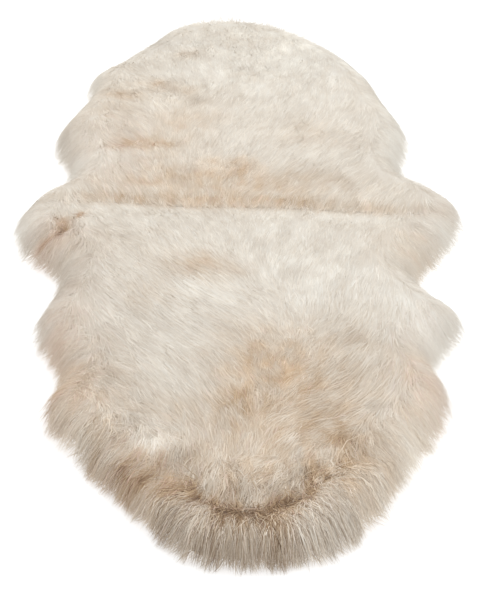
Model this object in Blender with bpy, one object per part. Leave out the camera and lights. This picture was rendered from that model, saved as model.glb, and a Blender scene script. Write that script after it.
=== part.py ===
"""A double sheepskin rug: two natural pelts trimmed straight and sewn end to end.

Metres, +Z up.  The rug lies flat on the plane z = 0 with its origin under its middle
and its length along Y; the seam crosses it near y = 0.  Each pelt, hide and wool
together, is one lumpy slab whose rim is drawn out into locks that rest on the floor.
"""

import math
import random
from collections import namedtuple

import bmesh
import bpy
import numpy as np
from mathutils import Vector, noise
from mathutils.geometry import delaunay_2d_cdt

# ---------------------------------------------------------------- driving dimensions
HALF_LENGTH = 0.922        # rug centre to the wool tips at either end
FAR_END_X = -0.005         # the far end's foremost point, beside the centre line
NEAR_END_X = 0.016         # the near end's foremost point
PILE = 0.061               # wool height over the middle of a pelt
RIM_HEIGHT = 0.021         # wool height where the locks leave the slab
SHOULDER = 0.048           # width of the rounded shoulder inside the rim
LOCK_PITCH = 0.0225        # spacing of the locks along the rim
LOCK_REACH = 0.036         # length of the locks along the sides and the far end
NEAR_LOCK_REACH = 0.050    # length of the longer locks round the near end
NEAR_LOCKS_FROM = -0.55    # the locks grow longer from this station to the near end
SHOULDER_ROWS = (0.011, 0.026, 0.045)    # rows of points that far inside the border
ROW_SLACK = 0.9            # a row's point may come this much nearer to the border
SURFACE_STEP = 0.025       # spacing of the points on the lumpy top
SEAM_GAP = 0.0003          # clear gap between the two pelts
SEAM_TILT = math.radians(-4.0)   # the seam runs slightly askew
SEAM_Y = -0.008            # where the seam crosses the centre line
SEAM_DIP = 0.013           # how far the wool parts down into the seam
SEAM_DIP_WIDTH = 0.024     # half the width of that parting
LUMP = 0.0060              # broad rise and fall of the pile
LUMP_SIZE = 0.17           # about the width of a broad lump
TUFT = 0.0028              # finer clumps on top of the broad lumps
TUFT_SIZE = 0.060          # about the width of a clump
CURVE_STEP = 0.002         # spacing of the points along the smooth outline
ROW_CLEARANCE = 0.012      # room between the innermost row and the lattice inside it
SAME_POINT = 1e-6          # points closer together than this count as one

# The free edge of the rug, to the wool tips.  One row for each lobe and each notch:
# how far along the rug it lies (+ is the far pelt) and how far out from the centre
# line, on the left and on the right.
Edge = namedtuple("Edge", "name left_y left_out right_y right_out")
EDGES = (
    Edge("far end", 0.907, 0.105, 0.897, 0.100),
    Edge("far shoulder", 0.802, 0.208, 0.792, 0.190),
    Edge("far corner", 0.623, 0.302, 0.632, 0.262),
    Edge("far hollow", 0.547, 0.290, 0.542, 0.272),
    Edge("far lobe", 0.347, 0.324, 0.357, 0.300),
    Edge("waist", 0.207, 0.290, 0.233, 0.281),
    Edge("seam lobe, rise", 0.115, 0.334, 0.130, 0.334),
    Edge("seam lobe, crest", 0.003, 0.355, 0.018, 0.357),
    Edge("seam lobe, fall", -0.107, 0.325, -0.102, 0.318),
    Edge("upper notch", -0.198, 0.271, -0.177, 0.277),
    Edge("middle lobe", -0.362, 0.290, -0.333, 0.320),
    Edge("lower notch", -0.502, 0.243, -0.458, 0.270),
    Edge("near lobe", -0.588, 0.258, -0.557, 0.280),
    Edge("near flank", -0.698, 0.200, -0.718, 0.216),
    Edge("near shoulder", -0.823, 0.120, -0.843, 0.156),
    Edge("near end", -0.902, 0.052, -0.907, 0.092),
)

# Soft troughs where the wool parts or turns over, from start to end.
Trough = namedtuple("Trough", "name x0 y0 x1 y1 half_width depth")
TROUGHS = (
    Trough("front skirt, left", -0.132, -0.732, -0.063, -0.820, 0.022, 0.009),
    Trough("front skirt, middle", -0.063, -0.820, 0.071, -0.832, 0.022, 0.011),
    Trough("front skirt, right", 0.071, -0.832, 0.197, -0.709, 0.022, 0.009),
    Trough("seam lobe crease, upper", -0.277, -0.050, -0.268, -0.102, 0.020, 0.014),
    Trough("seam lobe crease, lower", -0.268, -0.102, -0.318, -0.122, 0.020, 0.011),
    Trough("far parting, left", -0.227, 0.243, -0.125, 0.243, 0.026, 0.006),
    Trough("far parting, top", -0.212, 0.484, -0.089, 0.490, 0.024, 0.007),
    Trough("near parting", -0.006, -0.310, 0.051, -0.285, 0.030, 0.005),
)

# The shape of a lock from root to tip: how far along it a section lies, its width and
# height there as shares of the root's, and how much of the sideways bend it has.
LockSection = namedtuple("LockSection", "along width height bend")
LOCK_SECTIONS = (
    LockSection(0.42, 0.88, 0.66, 0.12),
    LockSection(0.80, 0.62, 0.30, 0.60),
    LockSection(1.00, 0.18, 0.10, 1.00),
)
SHORTEST_LOCK = 0.78       # the shortest lock as a share of the longest
LOCK_BEND = 0.005          # most that a lock's tip strays along the edge
NOTCH_LOSS = 0.6           # length a lock loses where its tip has no room at all
FAN_LIMITS = (0.2, 1.4)    # least and most room for a tip, as a share of its root's
RANDOM_SEED = 11

WOOL_COLOUR = (0.72, 0.65, 0.56, 1.0)
PELTS = {"pelt_far": 1.0, "pelt_near": -1.0}   # node name: its side of the seam

Outline = namedtuple("Outline", "rim tips")    # matching points on both curves


# ---------------------------------------------------------------- the outline
def landmark_loop():
    """All landmarks of the free edge in one loop, anticlockwise from the far end."""
    left = [(-row.left_out, row.left_y) for row in EDGES]
    right = [(row.right_out, row.right_y) for row in reversed(EDGES)]
    far, near = (FAR_END_X, HALF_LENGTH), (NEAR_END_X, -HALF_LENGTH)
    return np.array([far, *left, near, *right])


def smooth_loop(corners):
    """Centripetal Catmull-Rom curve through a closed loop, CURVE_STEP apart."""
    p0, p1, p2, p3 = (np.roll(corners, shift, axis=0) for shift in (1, 0, -1, -2))
    pieces = []
    for a, b, c, d in zip(p0, p1, p2, p3):
        t1 = math.sqrt(np.linalg.norm(b - a))
        t2 = t1 + math.sqrt(np.linalg.norm(c - b))
        t3 = t2 + math.sqrt(np.linalg.norm(d - c))
        steps = max(4, round(float(np.linalg.norm(c - b)) / CURVE_STEP))
        t = np.linspace(t1, t2, steps, endpoint=False)[:, None]
        ab = (t1 - t) / t1 * a + t / t1 * b
        bc = (t2 - t) / (t2 - t1) * b + (t - t1) / (t2 - t1) * c
        cd = (t3 - t) / (t3 - t2) * c + (t - t2) / (t3 - t2) * d
        abc = (t2 - t) / t2 * ab + t / t2 * bc
        bcd = (t3 - t) / (t3 - t1) * bc + (t - t1) / (t3 - t1) * cd
        pieces.append((t2 - t) / (t2 - t1) * abc + (t - t1) / (t2 - t1) * bcd)
    return np.concatenate(pieces)


def rug_outline():
    """The whole rug's tip curve, and the slab's rim one lock's reach inside it."""
    tips = smooth_loop(landmark_loop())
    tangent = np.roll(tips, -1, axis=0) - np.roll(tips, 1, axis=0)
    tangent /= np.linalg.norm(tangent, axis=1)[:, None]
    outward = np.stack([tangent[:, 1], -tangent[:, 0]], axis=1)
    near = np.clip((NEAR_LOCKS_FROM - tips[:, 1]) / (HALF_LENGTH + NEAR_LOCKS_FROM), 0, 1)
    reach = LOCK_REACH + (NEAR_LOCK_REACH - LOCK_REACH) * near
    return Outline(tips - outward * reach[:, None], tips)


def from_seam(points):
    """Signed distance of (x, y) points from the seam line, + on the far side."""
    points = np.asarray(points)
    return (points[:, 1] - SEAM_Y) * math.cos(SEAM_TILT) - points[:, 0] * math.sin(SEAM_TILT)


def cut_at_seam(outline, side):
    """The run of the outline on one side of the seam, its rim ending on the seam."""
    depth = from_seam(outline.rim) * side - SEAM_GAP / 2
    first = next(i for i in range(len(depth)) if depth[i] > 0 >= depth[i - 1])
    rim, tips, depth = (np.roll(a, -first, axis=0) for a in (*outline, depth))
    count = int(np.argmax(depth <= 0))
    start = depth[-1] / (depth[-1] - depth[0])
    end = depth[count - 1] / (depth[count - 1] - depth[count])
    cut = []
    for curve in (rim, tips):
        head = curve[-1] + (curve[0] - curve[-1]) * start
        tail = curve[count - 1] + (curve[count] - curve[count - 1]) * end
        cut.append(np.vstack([head, curve[:count], tail]))
    return Outline(*cut)


def spaced(outline, pitch):
    """The outline at equal steps of about one pitch along its rim."""
    steps = np.linalg.norm(np.diff(outline.rim, axis=0), axis=1)
    length = np.concatenate([[0], np.cumsum(steps)])
    marks = np.linspace(0, length[-1], round(length[-1] / pitch) + 1)
    resample = [
        np.stack([np.interp(marks, length, curve[:, k]) for k in (0, 1)], axis=1)
        for curve in outline
    ]
    return Outline(*resample)


# ---------------------------------------------------------------- the lumpy top
def distance_to_path(points, path):
    """Shortest distance from each (x, y) point to an open path of straight pieces."""
    start, span = path[:-1], np.diff(path, axis=0)
    offset = points[:, None, :] - start[None]
    share = np.clip((offset * span).sum(2) / (span**2).sum(1), 0, 1)
    return np.linalg.norm(offset - share[..., None] * span, axis=2).min(axis=1)


def pile_height(points, free_rim):
    """Height of the wool at each point, rounded down to RIM_HEIGHT at the free rim."""
    inset = np.clip(distance_to_path(points, free_rim) / SHOULDER, 0, 1)
    crown = np.sqrt(1 - (1 - inset) ** 2)
    lumps = np.array([
        LUMP * noise.noise(Vector((x / LUMP_SIZE, y / LUMP_SIZE, 0.4)))
        + TUFT * noise.noise(Vector((x / TUFT_SIZE, y / TUFT_SIZE, 7.7)))
        for x, y in points
    ])
    hollows = SEAM_DIP * np.exp(-((from_seam(points) / SEAM_DIP_WIDTH) ** 2))
    for row in TROUGHS:
        line = np.array([(row.x0, row.y0), (row.x1, row.y1)])
        away = distance_to_path(points, line) / row.half_width
        hollows = hollows + row.depth * np.exp(-(away**2))
    return RIM_HEIGHT + crown * (PILE - RIM_HEIGHT + lumps - hollows)


def top_points(border):
    """Rows of points that follow the border inside it, and a triangular lattice."""
    closed = np.vstack([border, border[:1]])
    tangent = np.roll(border, -1, axis=0) - np.roll(border, 1, axis=0)
    tangent /= np.linalg.norm(tangent, axis=1)[:, None]
    inward = np.stack([-tangent[:, 1], tangent[:, 0]], axis=1)
    points = []
    for inset in SHOULDER_ROWS:
        row = border + inward * inset
        points.append(row[distance_to_path(row, closed) > inset * ROW_SLACK])
    low, high = border.min(axis=0), border.max(axis=0)
    row_step = SURFACE_STEP * math.sqrt(3) / 2
    lattice = np.array([
        (x + SURFACE_STEP / 2 * (row % 2), y)
        for row, y in enumerate(np.arange(low[1], high[1], row_step))
        for x in np.arange(low[0], high[0], SURFACE_STEP)
    ])
    inner = SHOULDER_ROWS[-1] + ROW_CLEARANCE
    points.append(lattice[distance_to_path(lattice, closed) > inner])
    return np.vstack(points)


# ---------------------------------------------------------------- one pelt
def slab(bm, outline):
    """Fill the pelt's border with a lumpy top and a flat underside, joined by walls.

    Returns the wall faces along the free rim, in order.
    """
    rim = outline.rim
    steps = round(float(np.linalg.norm(rim[0] - rim[-1])) / SURFACE_STEP)
    seam_edge = [rim[-1] + (rim[0] - rim[-1]) * k / steps for k in range(1, steps)]
    border = np.vstack([rim, seam_edge])
    count = len(border)
    plan = np.vstack([border, top_points(border)])
    border_face = [list(range(count))]
    filled = delaunay_2d_cdt([Vector(p) for p in plan], [], border_face, 1, SAME_POINT)
    plan, faces, sources = np.array(filled[0]), filled[2], filled[3]
    heights = pile_height(plan, rim)
    top = [bm.verts.new((x, y, z)) for (x, y), z in zip(plan, heights)]
    for face in faces:
        bm.faces.new([top[i] for i in face])
    outside = [vert for vert in top if not vert.link_faces]
    vertex_of = {source: i for i, kept in enumerate(sources) for source in kept}
    upper = [top[vertex_of[i]] for i in range(count)]
    lower = [bm.verts.new((v.co.x, v.co.y, 0.0)) for v in upper]
    bm.faces.new(reversed(lower))
    bmesh.ops.delete(bm, geom=outside, context="VERTS")
    walls = []
    for i in range(count):
        j = (i + 1) % count
        walls.append(bm.faces.new((lower[i], lower[j], upper[j], upper[i])))
    return walls[: len(rim) - 1]


def draw_out_lock(bm, wall, root, axis, bend, fan):
    """Draw one rim wall out into a four-sided lock that lies on the floor.

    fan is the room between neighbouring tips as a share of the room at the roots.
    """
    face, centre, width, height = wall, root, 1.0, 1.0
    for section in LOCK_SECTIONS:
        face = bmesh.ops.extrude_discrete_faces(bm, faces=[face])["faces"][0]
        target = root + axis * section.along + bend * section.bend
        new_width = section.width * (1 + (fan - 1) * section.along)
        for vert in face.verts:
            offset = np.array(vert.co.xy) - centre
            vert.co.xy = target + offset * (new_width / width)
            vert.co.z *= section.height / height
        centre, width, height = target, new_width, section.height


def draw_out_locks(bm, walls, outline, dice):
    """Draw the rim's walls out into locks of uneven length, each with a slight bend.

    In the notches, where the tips draw together, the locks are narrower and shorter.
    """
    roots = (outline.rim[:-1] + outline.rim[1:]) / 2
    tips = (outline.tips[:-1] + outline.tips[1:]) / 2
    along = outline.rim[1:] - outline.rim[:-1]
    root_room = np.linalg.norm(along, axis=1)
    tip_room = np.linalg.norm(outline.tips[1:] - outline.tips[:-1], axis=1)
    fans = np.clip(tip_room / root_room, *FAN_LIMITS)
    along /= root_room[:, None]
    for wall, root, tip, edge, fan in zip(walls, roots, tips, along, fans):
        crowding = min(1.0, fan)
        reach = dice.uniform(SHORTEST_LOCK, 1.0) * (1 - NOTCH_LOSS * (1 - crowding))
        stray = dice.uniform(-LOCK_BEND, LOCK_BEND) * crowding
        draw_out_lock(bm, wall, root, (tip - root) * reach, edge * stray, fan)


def wool_material():
    """Natural cream wool, matt."""
    material = bpy.data.materials.new("cream wool")
    material.use_nodes = True
    shader = material.node_tree.nodes["Principled BSDF"]
    shader.inputs["Base Color"].default_value = WOOL_COLOUR
    shader.inputs["Roughness"].default_value = 0.95
    shader.inputs["Metallic"].default_value = 0.0
    return material


def make_pelt(name, side, outline, material, collection):
    """One pelt, from the seam to its outer end, as a single closed solid."""
    run = spaced(cut_at_seam(outline, side), LOCK_PITCH)
    bm = bmesh.new()
    walls = slab(bm, run)
    draw_out_locks(bm, walls, run, random.Random(f"{name} {RANDOM_SEED}"))
    bmesh.ops.recalc_face_normals(bm, faces=bm.faces)
    mesh = bpy.data.meshes.new(name)
    bm.to_mesh(mesh)
    bm.free()
    mesh.materials.append(material)
    pelt = bpy.data.objects.new(name, mesh)
    collection.objects.link(pelt)
    return pelt


def main():
    for old in list(bpy.data.objects):
        bpy.data.objects.remove(old)
    collection = bpy.data.collections.new("sheepskin_rug")
    bpy.context.scene.collection.children.link(collection)
    outline = rug_outline()
    material = wool_material()
    for name, side in PELTS.items():
        make_pelt(name, side, outline, material, collection)


main()
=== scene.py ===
"""A double sheepskin rug: cream long wool on two hides sewn end to end, lying flat.

Metres, +Z up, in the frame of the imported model: the origin is on the floor under the
middle of the rug, its length runs along Y, and the near pelt is on the -Y side.  The
wool is made of real strands.  Each one grows from its hide, leans over the way the
fleece is combed, and draws together with its neighbours into locks.
"""

import logging
import math
from dataclasses import dataclass, field
from enum import Enum

import bpy
import numpy as np
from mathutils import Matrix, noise

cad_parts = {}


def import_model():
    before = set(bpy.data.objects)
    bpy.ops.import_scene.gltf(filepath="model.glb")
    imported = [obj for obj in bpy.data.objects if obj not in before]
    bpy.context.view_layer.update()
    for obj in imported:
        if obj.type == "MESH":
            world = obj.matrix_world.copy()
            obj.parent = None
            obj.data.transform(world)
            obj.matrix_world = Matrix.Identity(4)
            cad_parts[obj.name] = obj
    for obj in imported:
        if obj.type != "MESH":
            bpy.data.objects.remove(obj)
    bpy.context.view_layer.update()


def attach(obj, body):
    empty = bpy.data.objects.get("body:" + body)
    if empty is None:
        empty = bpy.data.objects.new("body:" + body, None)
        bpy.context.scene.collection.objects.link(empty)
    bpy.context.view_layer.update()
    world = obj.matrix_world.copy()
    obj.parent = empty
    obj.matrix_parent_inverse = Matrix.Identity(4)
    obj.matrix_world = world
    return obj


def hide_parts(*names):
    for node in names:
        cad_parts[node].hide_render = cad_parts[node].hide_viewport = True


LOG = logging.getLogger("sheepskin_rug")
WOOL_MAP = "OFBake"      # the wool's own map: tan, grey, peach across, lightness up
Pair = tuple[float, float]
Colour = tuple[float, float, float]
MAP_RANGE: Pair = (0.012, 0.988)  # places on the wool's map keep off its border


# ------------------------------------------------------------------ the rug's plan
class Pelt(Enum):
    """The two pelts, each with the side of the seam that it lies on."""

    FAR = 1
    NEAR = -1


@dataclass(frozen=True)
class EdgeRow:
    """One lobe or notch of the free edge: where it lies and how far out it reaches."""

    name: str
    left_y: float
    left_out: float
    right_y: float
    right_out: float


EDGE_ROWS = (
    EdgeRow("far end", 0.905, 0.114, 0.892, 0.066),
    EdgeRow("far shoulder", 0.794, 0.189, 0.766, 0.190),
    EdgeRow("far corner", 0.605, 0.286, 0.615, 0.252),
    EdgeRow("far hollow", 0.540, 0.279, 0.535, 0.265),
    EdgeRow("far lobe", 0.340, 0.322, 0.350, 0.297),
    EdgeRow("waist", 0.150, 0.284, 0.172, 0.276),
    EdgeRow("seam lobe, rise", 0.070, 0.333, 0.096, 0.326),
    EdgeRow("seam lobe, crest", 0.003, 0.355, 0.018, 0.357),
    EdgeRow("seam lobe, fall", -0.113, 0.330, -0.102, 0.318),
    EdgeRow("upper notch", -0.202, 0.270, -0.212, 0.266),
    EdgeRow("middle lobe", -0.368, 0.289, -0.352, 0.321),
    EdgeRow("lower notch", -0.502, 0.243, -0.462, 0.266),
    EdgeRow("near lobe", -0.588, 0.258, -0.557, 0.280),
    EdgeRow("near flank", -0.712, 0.191, -0.718, 0.215),
    EdgeRow("near shoulder", -0.825, 0.119, -0.843, 0.154),
    EdgeRow("near end", -0.906, 0.062, -0.907, 0.088),
)
FAR_TIP: Pair = (-0.005, 0.922)
NEAR_TIP: Pair = (0.016, -0.922)
CURVE_STEPS = 24         # points on the outline between two landmarks

SEAM_TILT = math.radians(-4.0)
SEAM_Y = -0.008
OVERHANG = 0.016         # how far wool hangs over, at the seam and the skirt's valley
NEAR_RISE: Pair = (0.1, 0.7)      # where the rim widens on the way to the near end


@dataclass(frozen=True)
class Trough:
    """A soft valley where the wool parts or turns over, from start to end."""

    name: str
    x0: float
    y0: float
    x1: float
    y1: float
    half_width: float
    depth: float


TROUGHS = (
    Trough("seam lobe crease, upper", -0.272, -0.050, -0.266, -0.102, 0.014, 0.011),
    Trough("seam lobe crease, lower", -0.266, -0.102, -0.318, -0.122, 0.014, 0.009),
    Trough("far parting, left", -0.227, 0.243, -0.125, 0.243, 0.026, 0.006),
    Trough("far parting, top", -0.212, 0.484, -0.089, 0.490, 0.024, 0.003),
    Trough("near parting", -0.006, -0.310, 0.051, -0.285, 0.030, 0.005),
)


@dataclass(frozen=True)
class Guide:
    """One stroke of the comb: the wool round (x, y) lies towards heading, in degrees.

    A lean of 0 stands upright and 1 lies well over.
    """

    x: float
    y: float
    heading: float
    lean: float = 1.0


GUIDES = (
    # far pelt, from its far end to the seam
    Guide(-0.03, 0.85, -84, 0.5), Guide(0.05, 0.84, -92, 0.5),
    Guide(-0.12, 0.72, -79, 0.6), Guide(-0.02, 0.72, -84, 0.55), Guide(0.10, 0.70, -92, 0.6),
    Guide(-0.20, 0.60, -64, 0.8), Guide(-0.11, 0.60, -80, 0.6), Guide(0.03, 0.60, -94, 0.6),
    Guide(0.15, 0.60, -101, 0.7),
    Guide(-0.23, 0.48, -52, 0.9), Guide(-0.15, 0.48, -64, 0.9), Guide(-0.06, 0.48, -103, 0.8),
    Guide(0.05, 0.48, -101, 0.8), Guide(0.15, 0.48, -100, 0.8), Guide(0.22, 0.48, -102, 0.8),
    Guide(-0.24, 0.37, -62, 1.0), Guide(-0.18, 0.37, -68, 0.9), Guide(-0.09, 0.37, -104, 0.8),
    Guide(0.01, 0.37, -104, 1.0), Guide(0.11, 0.37, -107, 0.9), Guide(0.21, 0.37, -111, 0.9),
    Guide(-0.23, 0.26, -50, 1.0), Guide(-0.14, 0.26, -72, 0.8), Guide(-0.06, 0.26, -97, 0.8),
    Guide(0.03, 0.26, -109, 1.0), Guide(0.13, 0.26, -111, 0.9), Guide(0.22, 0.26, -124, 0.9),
    Guide(-0.23, 0.16, -68, 1.0), Guide(-0.15, 0.16, -76, 0.9), Guide(-0.07, 0.16, -85, 0.7),
    Guide(0.00, 0.16, -110, 0.8), Guide(0.08, 0.16, -122, 1.0), Guide(0.16, 0.16, -116, 1.0),
    Guide(0.23, 0.16, -130, 0.9),
    Guide(-0.24, 0.07, -66, 0.9), Guide(-0.15, 0.07, -68, 0.7), Guide(-0.05, 0.07, -92, 0.6),
    Guide(0.04, 0.07, -114, 0.7), Guide(0.13, 0.07, -114, 0.8), Guide(0.23, 0.07, -114, 0.8),
    # near pelt, from the seam to its near end
    Guide(-0.25, -0.06, -66, 0.5), Guide(-0.15, -0.05, -68, 0.45), Guide(-0.05, -0.05, -74, 0.4),
    Guide(0.05, -0.05, -98, 0.35), Guide(0.15, -0.05, -100, 0.35), Guide(0.25, -0.05, -106, 0.4),
    Guide(-0.21, -0.15, -58, 0.9), Guide(-0.13, -0.15, -64, 0.8), Guide(-0.04, -0.14, -76, 0.6),
    Guide(0.04, -0.15, -103, 0.6), Guide(0.13, -0.15, -100, 0.6), Guide(0.23, -0.15, -106, 0.7),
    Guide(-0.22, -0.24, -48, 1.0), Guide(-0.15, -0.24, -65, 1.0), Guide(-0.08, -0.24, -54, 1.0),
    Guide(-0.02, -0.24, -50, 0.9), Guide(0.05, -0.24, -96, 0.7), Guide(0.13, -0.24, -103, 0.9),
    Guide(0.21, -0.24, -103, 1.0),
    Guide(-0.20, -0.33, -64, 1.0), Guide(-0.13, -0.33, -62, 1.0), Guide(-0.06, -0.33, -46, 1.0),
    Guide(0.00, -0.33, -52, 1.0), Guide(0.06, -0.33, -82, 0.9), Guide(0.13, -0.33, -106, 1.0),
    Guide(0.21, -0.33, -98, 1.0),
    Guide(-0.20, -0.44, -56, 1.0), Guide(-0.13, -0.44, -57, 1.0), Guide(-0.05, -0.44, -52, 1.0),
    Guide(0.02, -0.44, -68, 0.9), Guide(0.08, -0.44, -98, 0.7), Guide(0.14, -0.44, -122, 1.0),
    Guide(0.21, -0.44, -104, 1.0),
    Guide(-0.16, -0.56, -54, 1.0), Guide(-0.09, -0.56, -66, 1.0), Guide(-0.02, -0.56, -68, 0.9),
    Guide(0.04, -0.56, -66, 0.6), Guide(0.10, -0.55, -136, 0.9), Guide(0.15, -0.54, -120, 1.0),
    Guide(0.20, -0.54, -110, 1.0),
    Guide(-0.14, -0.65, -50, 0.9), Guide(-0.08, -0.65, -70, 1.0), Guide(-0.01, -0.65, -72, 0.8),
    Guide(0.07, -0.64, -140, 0.7), Guide(0.13, -0.64, -136, 0.9), Guide(0.19, -0.64, -125, 0.9),
    Guide(-0.06, -0.74, -84, 0.8), Guide(0.02, -0.74, -104, 0.8), Guide(0.10, -0.74, -118, 0.6),
)
GUIDE_SPREAD = 0.038     # how far one stroke of the comb is felt


@dataclass(frozen=True)
class Patch:
    """An oval patch of the plan: its middle, half sizes, and turn in degrees."""

    name: str
    x: float
    y: float
    half_x: float
    half_y: float
    turn: float

    def share(self, plan: np.ndarray) -> np.ndarray:
        """1 at the patch's middle, falling off as a bell curve over its turned oval."""
        turn = math.radians(self.turn)
        dx, dy = plan[..., 0] - self.x, plan[..., 1] - self.y
        across = (dx * math.cos(turn) + dy * math.sin(turn)) / self.half_x
        along = (dy * math.cos(turn) - dx * math.sin(turn)) / self.half_y
        return np.exp(-(across**2 + along**2))


@dataclass(frozen=True)
class Tint(Patch):
    """A patch where the wool is darker or lighter, or warmer, than round about: some are its own
    tan, grey or peach, others painted shade or painted light.
    """

    lightness: float
    warmth: float


@dataclass(frozen=True)
class Ruffle(Patch):
    """A patch where the wool curls and stands in tufts; 1 is as curly as it gets."""

    strength: float


@dataclass(frozen=True)
class Blush(Patch):
    """A patch where this share of the strands is warm towards peach, not tan."""

    strength: float


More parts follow.
